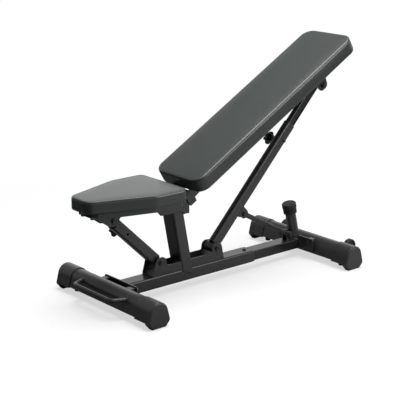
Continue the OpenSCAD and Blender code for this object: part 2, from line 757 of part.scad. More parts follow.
// The link's rear pivot: head and nut on the plates, and stub shanks that end at the link
module link_bracket_bolts() color(bolt_black) bench() both_sides() {
    bar_y(link_end, bolt_r, link_plate_inner + 0.2, link_plate_outer + 1.8 * bolt_r);
    bar_y(link_end, 1.9 * bolt_r, link_plate_outer, link_plate_outer + 1.5);
    translate([0, link_plate_outer + 1.5, 0]) hex_y(link_end, 1.75 * bolt_r, 1.2 * bolt_r);
    bar_y(link_bolt, 1.5 * small_bolt_r, link_plate_outer, link_plate_outer + 3.5);
}

wheel_axle = [base_spacing + wheel_out, wheel_z];
wheel_plate_gap = wheel_w / 2 + 1;
wheel_plate_t = 3;
module wheel_brackets() color(steel_black) bench() for (side = [-1, 1]) for (half = [-1, 1]) {
    y0 = side * wheel_y + half * (wheel_plate_gap + wheel_plate_t / 2);
    difference() {
        plate(y0 - wheel_plate_t / 2, y0 + wheel_plate_t / 2) difference() {
            polygon(rounded([
                [base_spacing + base_dome * 0.5, base_low + 4, 0],
                [wheel_axle.x + 6, wheel_axle.y - 12, 8],
                [wheel_axle.x + 11, wheel_axle.y + 11, 10.5],
                [wheel_axle.x - 11, wheel_axle.y + 11, 10.5],
                [base_spacing + base_dome * 0.5, dome_z + 18, 0]
            ]));
            translate([base_spacing, 0]) polygon(arch(0, base_low));
        }
        bar_y(wheel_axle, small_bolt_r + run_gap, -base_half_width, base_half_width);
    }
}
module wheel_axles() color(bolt_black) bench() for (side = [-1, 1])
    translate([0, side * wheel_y, 0]) {
        outer = wheel_plate_gap + wheel_plate_t;
        bar_y(wheel_axle, small_bolt_r, -outer - 3, outer + 3);
        bar_y(wheel_axle, 2 * small_bolt_r - 1, -outer - 3, -outer);
        bar_y(wheel_axle, 2 * small_bolt_r - 1, outer, outer + 3);
    }
module wheel(side) translate([wheel_axle.x, side * wheel_y, wheel_axle.y]) rotate([-90, 0, 0])
    rotate_extrude() polygon([
        [small_bolt_r + run_gap, -wheel_w / 2 + 0.5], [small_bolt_r + 5, -wheel_w / 2 + 0.5],
        [small_bolt_r + 6, -wheel_w / 2 + 5], [wheel_r - 8, -wheel_w / 2 + 5],
        [wheel_r - 7, -wheel_w / 2 + 1], [wheel_r - 2, -wheel_w / 2 + 1],
        [wheel_r, -wheel_w / 2 + 4], [wheel_r, wheel_w / 2 - 4],
        [wheel_r - 2, wheel_w / 2 - 1], [wheel_r - 7, wheel_w / 2 - 1],
        [wheel_r - 8, wheel_w / 2 - 5], [small_bolt_r + 6, wheel_w / 2 - 5],
        [small_bolt_r + 5, wheel_w / 2 - 0.5], [small_bolt_r + run_gap, wheel_w / 2 - 0.5]
    ]);
module wheel_left() color(rubber_black) bench() wheel(1);
module wheel_right() color(rubber_black) bench() wheel(-1);

// ---------------------------------------------------------------- base link

module link_bar() color(steel_black) bench() tilted(link_front, link_angle) difference() {
    union() {
        along_x(0, link_reach) polygon(box_outline(link_w, link_h, link_corner));
        bar_y([0, 0], link_front_r, -link_half, link_half);
        bar_y([link_reach, 0], link_h / 2, -link_half, link_half);
    }
    bar_y([0, 0], bolt_r + run_gap, -link_half - 1, link_half + 1);
    bar_y([link_reach, 0], bolt_r + run_gap, -link_half - 1, link_half + 1);
}
module link_pivot_bolt() color(bolt_black) bench()
    cross_bolt(link_front, bolt_r, link_plate_outer);

// ---------------------------------------------------------------- back strut

// Outline of the outer tube, made smaller all round by inset
module strut_outline(inset)
    polygon(box_outline(strut_w - 2 * inset, strut_h - 2 * inset, strut_corner - inset));
module strut_tube() color(steel_black) bench() on_strut() difference() {
    union() {
        difference() {
            union() {
                along_x(bush_r - 4, strut_length - guide_ring) strut_outline(0);
                // Ears of the link's front pivot, hung from the underside of the tube
                both_sides() plate(link_plate_inner, link_plate_outer) polygon(rounded([
                    [link_lug_local.x - link_ear_r - 2, strut_corner - strut_h / 2, 0],
                    [link_lug_local.x - link_ear_r, link_lug_local.y - link_ear_r, link_ear_r - 0.5],
                    [link_lug_local.x + link_ear_r, link_lug_local.y - link_ear_r, link_ear_r - 0.5],
                    [link_lug_local.x + link_ear_r + 2, strut_corner - strut_h / 2, 0]
                ]));
            }
            along_x(bush_r - 5, strut_length) strut_outline(strut_wall);
            bar_y([0, 0], bush_r - 0.5, -strut_w, strut_w);
        }
        bar_y([0, 0], bush_r, -foot_bush_half, foot_bush_half);
    }
    bar_y([0, 0], bolt_r + run_gap, -foot_bush_half - 1, foot_bush_half + 1);
    bar_y(link_lug_local, bolt_r + run_gap, -link_plate_outer - 1, link_plate_outer + 1);
    bar_y([pin_along, 0], pin_r + run_gap, 0, strut_w);
    bar_y(guide_screw, 3, -strut_w, 0);
}
// Plastic guide: a ring on the end of the outer tube and a sleeve in its mouth
module strut_guide() color(plastic_black) bench() on_strut() difference() {
    union() {
        along_x(strut_length - guide_ring, strut_length) strut_outline(0);
        along_x(strut_length - guide_length, strut_length - guide_ring / 2) strut_outline(strut_wall + 0.05);
    }
    along_x(strut_length - guide_length - 1, strut_length + 1)
        polygon(box_outline(inner_w + 0.6, inner_h + 0.6, inner_corner + 0.3));
}
module strut_pin_housing() color(bolt_black) bench() on_strut() difference() {
    union() {
        bar_y([pin_along, 0], housing_r, strut_w / 2, strut_w / 2 + housing_length);
        translate([0, strut_w / 2, 0]) hex_y([pin_along, 0], housing_r + 3, 6);
    }
    bar_y([pin_along, 0], pin_r + run_gap, 0, 80);
}
module strut_guide_screw() color(bolt_black) bench() on_strut() {
    bar_y(guide_screw, 6, -strut_w / 2 - 3.5, -strut_w / 2);
    bar_y(guide_screw, 2.9, -strut_w / 2 - 1, -inner_w / 2 + 0.5);
}

inner_end = strut_length - inner_inside;
slot_top = strut_length + 95;
slot_low = guide_screw.x - strut_lengthen - slot_w;
module strut_inner_tube() color(steel_inner) bench() on_strut() difference() {
    union() {
        difference() {
            along_x(inner_end, strut_reach - eye_r + 4) box_section(inner_w, inner_h, inner_corner, inner_wall);
            bar_y([strut_reach, 0], eye_r - 0.5, -inner_w, inner_w);
        }
        bar_y([strut_reach, 0], eye_r, -eye_half, eye_half);
    }
    bar_y([strut_reach, 0], bolt_r + run_gap, -eye_half - 1, eye_half + 1);
    // Stop slot for the guide screw, in the near flank
    translate([slot_low, -inner_w / 2 - 1, guide_screw.y - slot_w / 2])
        cube([slot_top - slot_low, inner_wall + 2, slot_w]);
    // Locking holes in the far flank
    for (i = [0:lock_holes - 1]) {
        step = (strut_shorten + strut_lengthen) / (lock_holes - 1);
        bar_y([pin_along + strut_shorten - i * step, 0], pin_r + 0.4, 0, inner_w);
    }
}
// Plastic shoe on the lower end of the inner tube, running inside the outer tube
module strut_glide() color(plastic_black) bench() on_strut()
    along_x(inner_end - 16, inner_end) strut_outline(strut_wall + 0.4);

// Star knob with six lobes on the end of a pull pin
module star_knob(p, y0) translate([p.x, y0, p.y]) rotate([-90, 0, 0]) {
    cylinder(r = knob_r * 0.5, h = 5);
    translate([0, 0, 4]) linear_extrude(knob_w - 4) union() {
        circle(r = knob_r * 0.74);
        for (a = [0:60:300]) rotate(a) translate([knob_r * 0.7, 0]) circle(r = knob_r * 0.3);
    }
}
module pull_pin(p, nose, root, knob_start) {
    bar_y(p, pin_r, nose, knob_start + 8);
    bar_y(p, pin_r + 2, root + housing_length + 0.3, knob_start - 0.2);
}
back_knob_start = strut_w / 2 + housing_length + knob_gap;
module back_pin() color(bolt_black) bench() on_strut() difference() {
    pull_pin([pin_along, 0], inner_w / 2 + pin_gap, strut_w / 2, back_knob_start);
}
module back_knob() color(plastic_black) bench() on_strut() difference() {
    star_knob([pin_along, 0], back_knob_start);
    bar_y([pin_along, 0], pin_r + 0.02, 0, back_knob_start + 8.02);
}

// ---------------------------------------------------------------- back

module back_rails() color(steel_black) bench() on_back() both_sides()
    translate([0, rail_inner + rail_width / 2, -rail_depth / 2])
        along_x(rail_start, rail_end) box_section(rail_width, rail_depth, 4, rail_wall);
crossbar_places = [130, 560, 805];
crossbar_width = 30;
crossbar_depth = 24;
module back_crossbars() color(steel_black) bench() on_back() for (x = crossbar_places)
    plate(-rail_inner, rail_inner) translate([x, -crossbar_depth / 2])
        box_section(crossbar_width, crossbar_depth, 3, rail_wall);
module back_hinge_plates() color(steel_black) bench() on_back() difference() {
    both_sides() plate(hinge_plate_inner, hinge_plate_outer) polygon(rounded([
        [-back_hinge_out - 12, 8, 11.5],
        [-0.3, 8, 11],
        [-0.3, -0.3, 0],
        [105, -0.3, 0],
        [105, -rail_depth, 0],
        [38, -rail_depth - 4, 4],
        [11, -rail_depth - 6, 2],
        [10, -rail_depth - 24, 3],
        [-back_hinge_out - 12, -rail_depth - 24, 5]
    ]));
    bar_y(back_hinge_local, bolt_r + run_gap, -hinge_plate_outer - 1, hinge_plate_outer + 1);
}
// Ears and spacers of the upper strut pivot
module back_strut_ears() color(steel_black) bench() on_back() difference() {
    both_sides() {
        plate(hinge_plate_inner, hinge_plate_outer) polygon(rounded([
            [strut_top_along - 52, -0.3, 0],
            [strut_top_along - 20, -strut_top_drop - 18.5, 18],
            [strut_top_along + 20, -strut_top_drop - 18.5, 18],
            [strut_top_along + 34, -0.3, 0]
        ]));
        bar_y(strut_top_local, bolt_r + 5, eye_half + 0.6, hinge_plate_inner);
    }
    bar_y(strut_top_local, bolt_r + run_gap, -hinge_plate_outer - 1, hinge_plate_outer + 1);
}
// Head end and nut end of the upper strut bolt; the shank is left open where the eye stands
module back_strut_bolt() color(bolt_black) bench() on_back() for (side = [0, 1]) mirror([0, side, 0]) {
    bar_y(strut_top_local, bolt_r, eye_half + 0.8, hinge_plate_outer + 1.8 * bolt_r);
    bar_y(strut_top_local, 1.9 * bolt_r, hinge_plate_outer, hinge_plate_outer + 1.5);
    translate([0, hinge_plate_outer + 1.5, 0]) hex_y(strut_top_local, 1.75 * bolt_r, 1.2 * bolt_r);
}
function back_outline(inset) = rounded([
    [inset, -back_width / 2 + inset, back_corner - inset],
    [back_length - inset, -back_width / 2 + inset, back_corner - inset],
    [back_length - inset, back_width / 2 - inset, back_corner - inset],
    [inset, back_width / 2 - inset, back_corner - inset]
]);
module back_board() color(board_brown) bench() on_back() linear_extrude(board_t)
    polygon(back_outline(board_inset));
module back_pad() color(vinyl_grey) bench() on_back() difference() {
    linear_extrude(back_thick) polygon(back_outline(0));
    translate([0, 0, -1]) linear_extrude(board_t + 1) polygon(back_outline(board_inset - 0.05));
}
module back_pad_screws() color(bolt_black) bench() on_back() both_sides()
    for (x = crossbar_places) translate([x, rail_inner - 14, -crossbar_depth - 3]) cylinder(r = 6, h = 3);

// ---------------------------------------------------------------- seat

function seat_outline(inset) = rounded([
    [seat_rear - inset, -seat_width / 2 + inset, 22 - inset / 2],
    [seat_rear - inset, seat_width / 2 - inset, 22 - inset / 2],
    [seat_rear - seat_straight, seat_width / 2 - inset, 60],
    [seat_rear - seat_length + inset, seat_nose / 2 - inset / 2, 38 - inset / 2],
    [seat_rear - seat_length + inset, -seat_nose / 2 + inset / 2, 38 - inset / 2],
    [seat_rear - seat_straight, -seat_width / 2 + inset, 60]
]);
// The board under the pad is a little smaller, and stops short of its nose
seat_board_inset = 8;
module seat_board() color(board_brown) bench() translate([0, 0, seat_low]) linear_extrude(seat_board_t)
    intersection() {
        polygon(seat_outline(seat_board_inset));
        translate([length_front + seat_board_back, -seat_width]) square([seat_length, 2 * seat_width]);
    }
module seat_pad() color(vinyl_grey) bench() translate([0, 0, seat_low + seat_board_t])
    linear_extrude(seat_thick) polygon(seat_outline(0));
seat_frame_front = length_front + seat_board_back - 10;
module seat_frame_side() polygon(rounded([
    [seat_frame_front, seat_low, 0],
    [seat_frame_front, seat_low - 10, 3],
    [seat_lug.x - 74, seat_low - 13, 10],
    [seat_lug.x - 19, seat_lug.y - 18.5, 17],
    [seat_lug.x + 18, seat_lug.y - 18.5, 17],
    [seat_lug.x + 26, seat_low - 23, 10],
    [head_front + 2, seat_low - 37, 8],
    [seat_hinge.x - 8, seat_hinge.y - 12, 8],
    [seat_hinge.x + 12, seat_hinge.y - 12, 11.5],
    [seat_hinge.x + 12, seat_hinge.y + 12, 11.5],
    [seat_hinge.x - 14, seat_hinge.y + 12, 6],
    [seat_rear + 4, seat_low, 0]
]));
seat_strips = [[seat_frame_front + 50, seat_front_strip / 2], [seat_rear - 70, seat_rear_strip / 2]];
module seat_frame() color(steel_black) bench() difference() {
    union() {
        both_sides() plate(seat_frame_half - seat_frame_t, seat_frame_half) seat_frame_side();
        translate([seat_frame_front, -seat_frame_half, seat_low - seat_frame_t])
            cube([seat_rear - 4 - seat_frame_front, 2 * seat_frame_half, seat_frame_t]);
        for (strip = seat_strips) translate([strip.x, -strip.y, seat_low - seat_frame_t])
            cube([seat_strip_length, 2 * strip.y, seat_frame_t]);
    }
    bar_y(seat_hinge, bolt_r + run_gap, -60, 60);
    bar_y(seat_lug, bolt_r + run_gap, -60, 60);
}
module seat_pad_screws() color(bolt_black) bench() {
    for (strip = seat_strips) for (side = [-1, 1])
        translate([strip.x + seat_strip_length / 2, side * (strip.y - 12), seat_low - seat_frame_t - 3])
            cylinder(r = 6, h = 3);
    // Stud under the nose of the pad
    translate([length_front + 10, 0, seat_low + seat_board_t - 7]) cylinder(r = 6, h = 7);
}
module seat_lug_bolt() color(bolt_black) bench() cross_bolt(seat_lug, bolt_r, seat_frame_half);

// ---------------------------------------------------------------- seat strut

module seat_strut_tube() color(steel_black) bench() on_seat_strut() difference() {
    union() {
        difference() {
            along_x(seat_bush_r - 4, seat_strut_length)
                box_section(seat_strut_w, seat_strut_h, seat_strut_corner, seat_strut_wall);
            bar_y([0, 0], seat_bush_r - 0.5, -seat_strut_w, seat_strut_w);
        }
        bar_y([0, 0], seat_bush_r, -foot_bush_half, foot_bush_half);
    }
    bar_y([0, 0], bolt_r + run_gap, -foot_bush_half - 1, foot_bush_half + 1);
    // The strut leans forwards, so its pull pin sits on the same far side as that of the back strut
    bar_y([seat_pin_along, 0], pin_r + run_gap, -60, 60);
}
module seat_pin_housing() color(bolt_black) bench() on_seat_strut() difference() {
    union() {
        bar_y([seat_pin_along, 0], housing_r, seat_strut_w / 2, seat_strut_w / 2 + housing_length - 6);
        translate([0, seat_strut_w / 2, 0]) hex_y([seat_pin_along, 0], housing_r + 3, 6);
    }
    bar_y([seat_pin_along, 0], pin_r + run_gap, 0, 80);
}
module seat_inner_tube() color(steel_inner) bench() on_seat_strut() difference() {
    union() {
        difference() {
            along_x(seat_strut_length - seat_inner_inside, seat_strut_reach - 10)
                box_section(seat_inner_w, seat_inner_h, seat_strut_corner - seat_strut_wall, seat_strut_wall);
            bar_y([seat_strut_reach, 0], 13.5, -seat_strut_w, seat_strut_w);
        }
        bar_y([seat_strut_reach, 0], 14, -seat_bush_half, seat_bush_half);
    }
    bar_y([seat_strut_reach, 0], bolt_r + seat_lug_play, -seat_bush_half - 1, seat_bush_half + 1);
    for (i = [0:2]) bar_y([seat_pin_along - i * seat_travel / 2, 0], pin_r + 0.4, -60, 60);
}
seat_knob_start = seat_strut_w / 2 + housing_length - 6 + knob_gap;
module seat_pin() color(bolt_black) bench() on_seat_strut()
    pull_pin([seat_pin_along, 0], seat_inner_w / 2 + pin_gap, seat_strut_w / 2 - 6, seat_knob_start);
module seat_knob() color(plastic_black) bench() on_seat_strut() difference() {
    star_knob([seat_pin_along, 0], seat_knob_start);
    bar_y([seat_pin_along, 0], pin_r + 0.02, 0, seat_knob_start + 8.02);
}

front_base_tube();
front_caps();
front_feet();
carry_handle();
front_flange();
front_flange_bolts();
main_beam();
beam_collar();
beam_guide_screw();
saddle_bracket();
seat_post();
head_bracket();
seat_hinge_bolt();
back_hinge_bolt();
seat_strut_foot_bolt();
back_strut_foot_bolt();
rear_beam();
rear_flange();
rear_flange_bolts();
rear_base_tube();
rear_caps();
rear_feet();
link_bracket();
link_bracket_bolts();
rest_post();
rest_post_cap();
wheel_brackets();
wheel_axles();
wheel_left();
wheel_right();
link_bar();
link_pivot_bolt();
strut_tube();
strut_guide();
strut_pin_housing();
strut_guide_screw();
strut_inner_tube();
strut_glide();
back_pin();
back_knob();
back_rails();
back_crossbars();
back_hinge_plates();
back_strut_ears();
back_strut_bolt();
back_board();
back_pad();
back_pad_screws();
seat_frame();
seat_board();
seat_pad();
seat_pad_screws();
seat_lug_bolt();
seat_strut_tube();
seat_pin_housing();
seat_inner_tube();
seat_pin();
seat_knob();
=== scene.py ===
# %% [markdown]
# # An adjustable weight bench
# The solids of the bench come in packed, as a fixed frame: tubes, plates, caps, bolts and joints
# already stand where they belong. This script gives them their looks. The hard parts get painted,
# moulded and plated finishes, and the padding, welds, knobs and bolts get models of their own.

# %% The frame
import json
from math import atan2, cos, exp, pi, radians, sin

import bmesh
import bpy
from mathutils import Matrix, Vector, kdtree
from mathutils.bvhtree import BVHTree

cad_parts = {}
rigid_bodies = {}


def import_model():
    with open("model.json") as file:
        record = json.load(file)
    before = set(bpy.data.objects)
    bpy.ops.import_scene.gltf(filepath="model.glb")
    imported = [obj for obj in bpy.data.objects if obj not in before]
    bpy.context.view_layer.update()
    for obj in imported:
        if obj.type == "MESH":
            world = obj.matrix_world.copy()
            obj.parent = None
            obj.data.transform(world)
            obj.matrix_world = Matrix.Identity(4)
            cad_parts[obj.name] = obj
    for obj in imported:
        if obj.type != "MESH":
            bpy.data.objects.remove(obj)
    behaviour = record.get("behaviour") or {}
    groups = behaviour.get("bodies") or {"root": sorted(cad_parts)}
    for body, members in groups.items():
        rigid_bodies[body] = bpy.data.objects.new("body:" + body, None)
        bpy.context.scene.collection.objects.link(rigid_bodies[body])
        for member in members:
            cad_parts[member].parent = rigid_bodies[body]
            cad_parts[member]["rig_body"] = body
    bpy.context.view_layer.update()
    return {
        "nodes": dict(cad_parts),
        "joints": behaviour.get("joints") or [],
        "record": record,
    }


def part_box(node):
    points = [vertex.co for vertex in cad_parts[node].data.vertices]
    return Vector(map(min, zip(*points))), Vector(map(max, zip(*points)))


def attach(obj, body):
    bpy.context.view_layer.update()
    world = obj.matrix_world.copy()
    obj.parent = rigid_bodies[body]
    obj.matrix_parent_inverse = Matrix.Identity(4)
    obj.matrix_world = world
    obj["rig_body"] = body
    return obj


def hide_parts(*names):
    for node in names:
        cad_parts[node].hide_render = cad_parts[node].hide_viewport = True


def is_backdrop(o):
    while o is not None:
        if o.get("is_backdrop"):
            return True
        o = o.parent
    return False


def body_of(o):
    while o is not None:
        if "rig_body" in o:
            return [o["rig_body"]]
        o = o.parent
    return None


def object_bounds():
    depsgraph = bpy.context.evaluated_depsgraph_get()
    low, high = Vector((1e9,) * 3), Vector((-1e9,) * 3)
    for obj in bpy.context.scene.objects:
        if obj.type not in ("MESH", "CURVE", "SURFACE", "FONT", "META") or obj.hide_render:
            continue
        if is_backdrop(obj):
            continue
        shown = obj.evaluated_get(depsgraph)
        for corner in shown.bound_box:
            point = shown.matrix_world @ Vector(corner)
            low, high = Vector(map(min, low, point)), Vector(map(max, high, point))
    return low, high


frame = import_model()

# %% [markdown]
# ## Places on the bench
# The drawing of the bench counts millimetres from the front base, and the back is drawn lying
# flat, before it is tilted about its hinge. Two small functions turn such a drawn place into
# metres in the frame, so every size below can be given as it would be on a workshop drawing.

# %% Drawing places
MM = 0.001
base_low, base_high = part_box("front_base_tube")
front_x = (base_low.x + base_high.x) / 2
pivots = {j["name"]: Vector(j["pos_m"]) for j in frame["joints"] if "pos_m" in j}
back_tilt = radians(29.9)


def bench(x, y, z):
    """A place in the drawing of the bench, in metres."""
    return Vector((front_x + x * MM, y * MM, z * MM))


def tilted(place, angle):
    """The frame of a piece drawn along X, which is then raised by an angle and put at a place."""
    return Matrix.Translation(place) @ Matrix.Rotation(-angle, 4, "Y")


hinge_local = Vector((-12, 0, -4)) * MM
back_frame = tilted(pivots["back_tilt"], back_tilt) @ Matrix.Translation(-hinge_local)
print("front base at x", round(front_x, 4), "back rises", round(back_tilt * 180 / pi, 2), "degrees")

# %% [markdown]
# ## Working as by hand
# Blender's operators act on the active object and on whatever is selected. These helpers keep
# that tidy: nothing is selected before a new shape is added, faces and edges are picked by their
# place, and a finished piece has its place written into its mesh.

# %% Helpers for selecting and finishing
def leave_edit():
    bpy.ops.object.mode_set(mode="OBJECT")


def extrude(way):
    bpy.ops.mesh.extrude_region_move(TRANSFORM_OT_translate={"value": way})


def in_mm(lengths):
    return [round(v * 1000, 1) for v in lengths]


def clear_selection():
    if bpy.context.object and bpy.context.object.mode != "OBJECT":
        leave_edit()
    for o in list(bpy.context.selected_objects):
        o.select_set(False)


def activate(piece):
    clear_selection()
    bpy.context.view_layer.objects.active = piece
    piece.select_set(True)


def named(name):
    piece = bpy.context.object
    piece.name = piece.data.name = name
    return piece


def pick(piece, kind, test):
    """Goes into edit mode and selects the faces, edges or vertices whose middle passes test."""
    activate(piece)
    bpy.ops.object.mode_set(mode="EDIT")
    bpy.ops.mesh.select_mode(type=kind)
    bpy.ops.mesh.select_all(action="DESELECT")
    mesh = bmesh.from_edit_mesh(piece.data)
    parts = {"FACE": mesh.faces, "EDGE": mesh.edges, "VERT": mesh.verts}[kind]
    found = 0
    for part in parts:
        if kind == "FACE":
            middle, way = part.calc_center_median(), part.normal
        elif kind == "EDGE":
            a, b = (v.co for v in part.verts)
            middle, way = (a + b) / 2, (b - a).normalized()
        else:
            middle, way = part.co, part.normal
        if test(middle, way):
            part.select_set(True)
            found += 1
    bmesh.update_edit_mesh(piece.data)
    return found


def settle(piece):
    """Writes a piece's place into its mesh, which leaves the object itself at the origin."""
    activate(piece)
    bpy.ops.object.transform_apply(location=True, rotation=True, scale=True)
    return piece


def cuboid(name, sides, middle=(0, 0, 0)):
    clear_selection()
    bpy.ops.mesh.primitive_cube_add(size=1, location=middle, scale=sides)
    return settle(named(name))


def moved(piece, matrix):
    piece.data.transform(matrix)
    piece.data.update()
    return piece


def apply_modifier(piece, kind, **values):
    activate(piece)
    modifier = piece.modifiers.new(kind.title(), kind)
    for key, value in values.items():
        setattr(modifier, key, value)
    bpy.ops.object.modifier_apply(modifier=modifier.name)


def tidy_shell(piece):
    """Merges doubled points and turns all faces outwards."""
    activate(piece)
    bpy.ops.object.mode_set(mode="EDIT")
    bpy.ops.mesh.select_all(action="SELECT")
    bpy.ops.mesh.remove_doubles(threshold=0.00002)
    bpy.ops.mesh.normals_make_consistent(inside=False)
    leave_edit()
    return piece


def smooth_by_angle(piece, degrees=35):
    activate(piece)
    bpy.ops.object.shade_smooth_by_angle(angle=radians(degrees))
    return piece


def joined(name, pieces):
    clear_selection()
    for piece in pieces:
        piece.select_set(True)
    bpy.context.view_layer.objects.active = pieces[0]
    if len(pieces) > 1:
        bpy.ops.object.join()
    return named(name)


def dress(piece, material):
    piece.data.materials.clear()
    piece.data.materials.append(material)


def copied(model, place):
    copy = model.copy()
    copy.data = model.data.copy()
    copy.data.transform(place)
    bpy.context.scene.collection.objects.link(copy)
    return copy


def set_out(name, model, places):
    """Copies a model to every place, each copy with its own mesh, and joins the copies."""
    copies = [copied(model, place) for place in places]
    bpy.data.objects.remove(model)
    return joined(name, copies)


print("helpers ready")

# %% [markdown]
# ## Finishes
# A bench like this has few colours and many kinds of black, so the finishes differ mostly in how
# they catch light. The frame is powder coated: a satin film with a fine orange peel, slightly
# thinner on its edges. Caps and knobs are moulded plastic, the feet are rubber, the bolts have a
# black oxide and the pads a smooth grey-green vinyl. Everything is worked out from the place on
# the object, so a pattern stays where it is when a piece moves.
#
# Effects that several finishes share are node groups: a fine grain, the light rubbing of edges
# and a trace of dust on faces that look up.

# %% Shared effect: fine grain
def new_group(name, inputs, outputs):
    tree = bpy.data.node_groups.new(name, "ShaderNodeTree")
    for label, kind, value in inputs:
        made = tree.interface.new_socket(label, in_out="INPUT", socket_type=kind)
        if value is not None:
            made.default_value = value
    for label, kind in outputs:
        tree.interface.new_socket(label, in_out="OUTPUT", socket_type=kind)
    return tree, tree.nodes.new("NodeGroupInput"), tree.nodes.new("NodeGroupOutput")


def maths(tree, operation, a, b=None, clamp=False):
    node = tree.nodes.new("ShaderNodeMath")
    node.operation, node.use_clamp = operation, clamp
    for socket, value in zip(node.inputs, (a, b)):
        if value is None:
            continue
        if isinstance(value, (int, float)):
            socket.default_value = value
        else:
            tree.links.new(value, socket)
    return node.outputs[0]


def noise(tree, vector, scale, detail=2.0, roughness=0.5):
    node = tree.nodes.new("ShaderNodeTexNoise")
    for label, value in (("Scale", scale), ("Detail", detail), ("Roughness", roughness)):
        if isinstance(value, (int, float)):
            node.inputs[label].default_value = value
        else:
            tree.links.new(value, node.inputs[label])
    tree.links.new(vector, node.inputs["Vector"])
    return node.outputs["Fac"]


grain, gi, go = new_group(
    "Fine grain",
    [("Vector", "NodeSocketVector", None), ("Scale", "NodeSocketFloat", 900.0),
     ("Pebbles", "NodeSocketFloat", 0.5)],
    [("Height", "NodeSocketFloat")],
)
cells = grain.nodes.new("ShaderNodeTexVoronoi")
cells.feature = "SMOOTH_F1"
cells.inputs["Smoothness"].default_value = 0.6
grain.links.new(gi.outputs["Vector"], cells.inputs["Vector"])
grain.links.new(gi.outputs["Scale"], cells.inputs["Scale"])
waves = noise(grain, gi.outputs["Vector"], maths(grain, "MULTIPLY", gi.outputs["Scale"], 0.4), 3.0)
pebbles = maths(grain, "MULTIPLY", cells.outputs["Distance"], gi.outputs["Pebbles"])
grain.links.new(maths(grain, "ADD", pebbles, waves), go.inputs["Height"])
print("group", grain.name)

# %% Shared effect: rubbed edges
edges, ei, eo = new_group(
    "Rubbed edges",
    [("Vector", "NodeSocketVector", None), ("Width", "NodeSocketFloat", 0.0012),
     ("Amount", "NodeSocketFloat", 0.5)],
    [("Mask", "NodeSocketFloat")],
)
round_normal = edges.nodes.new("ShaderNodeBevel")
round_normal.samples = 4
edges.links.new(ei.outputs["Width"], round_normal.inputs["Radius"])
plain_normal = edges.nodes.new("ShaderNodeNewGeometry")
compare = edges.nodes.new("ShaderNodeVectorMath")
compare.operation = "DOT_PRODUCT"
edges.links.new(round_normal.outputs["Normal"], compare.inputs[0])
edges.links.new(plain_normal.outputs["Normal"], compare.inputs[1])
away = maths(edges, "SUBTRACT", 1.0, compare.outputs["Value"])
patchy = noise(edges, ei.outputs["Vector"], 60.0, 4.0, 0.6)
rubbed = maths(edges, "MULTIPLY", maths(edges, "MULTIPLY", away, 5.0, clamp=True), patchy)
edges.links.new(maths(edges, "MULTIPLY", rubbed, ei.outputs["Amount"], clamp=True), eo.inputs["Mask"])
print("group", edges.name)

# %% Shared effect: dust on faces that look up
dust, di, do = new_group(
    "Settled dust",
    [("Vector", "NodeSocketVector", None), ("Amount", "NodeSocketFloat", 0.3)],
    [("Mask", "NodeSocketFloat")],
)
facing = dust.nodes.new("ShaderNodeNewGeometry")
split = dust.nodes.new("ShaderNodeSeparateXYZ")
dust.links.new(facing.outputs["Normal"], split.inputs[0])
upward = maths(dust, "POWER", maths(dust, "MAXIMUM", split.outputs["Z"], 0.0), 3.0)
specks = noise(dust, di.outputs["Vector"], 9.0, 6.0, 0.65)
dust.links.new(
    maths(dust, "MULTIPLY", maths(dust, "MULTIPLY", upward, specks), di.outputs["Amount"], clamp=True),
    do.inputs["Mask"],
)
print("group", dust.name)

# %% [markdown]
# Each finish starts from the same few steps: object coordinates, a base colour that wanders a
# little between two tones, a roughness that does the same, and a bump. The roughness follows its
# noise from end to end: where a noise is cut off, a glossy face shows the cut as a dark ring.

# %% A finish from its values
def blend_colours(tree, factor, a, b):
    node = tree.nodes.new("ShaderNodeMix")
    node.data_type = "RGBA"
    for socket, value in ((node.inputs["Factor"], factor), (node.inputs[6], a), (node.inputs[7], b)):
        if isinstance(value, (int, float)):
            socket.default_value = value
        elif isinstance(value, tuple):
            socket.default_value = (*value, 1.0)
        else:
            tree.links.new(value, socket)
    return node.outputs[2]


def spread(tree, value, low, high, start=0.3, stop=0.7):
    node = tree.nodes.new("ShaderNodeMapRange")
    tree.links.new(value, node.inputs["Value"])
    for label, number in (("From Min", start), ("From Max", stop), ("To Min", low), ("To Max", high)):
        node.inputs[label].default_value = number
    return node.outputs["Result"]


def use_group(tree, group, **values):
    node = tree.nodes.new("ShaderNodeGroup")
    node.node_tree = group
    for label, value in values.items():
        if isinstance(value, (int, float)):
            node.inputs[label].default_value = value
        else:
            tree.links.new(value, node.inputs[label])
    return node.outputs[0]


def bumped(tree, height, distance, strength, under=None):
    """A bump, which can lie on another normal."""
    node = tree.nodes.new("ShaderNodeBump")
    node.inputs["Distance"].default_value = distance
    node.inputs["Strength"].default_value = strength
    tree.links.new(height, node.inputs["Height"])
    if under is not None:
        tree.links.new(under, node.inputs["Normal"])
    return node.outputs["Normal"]


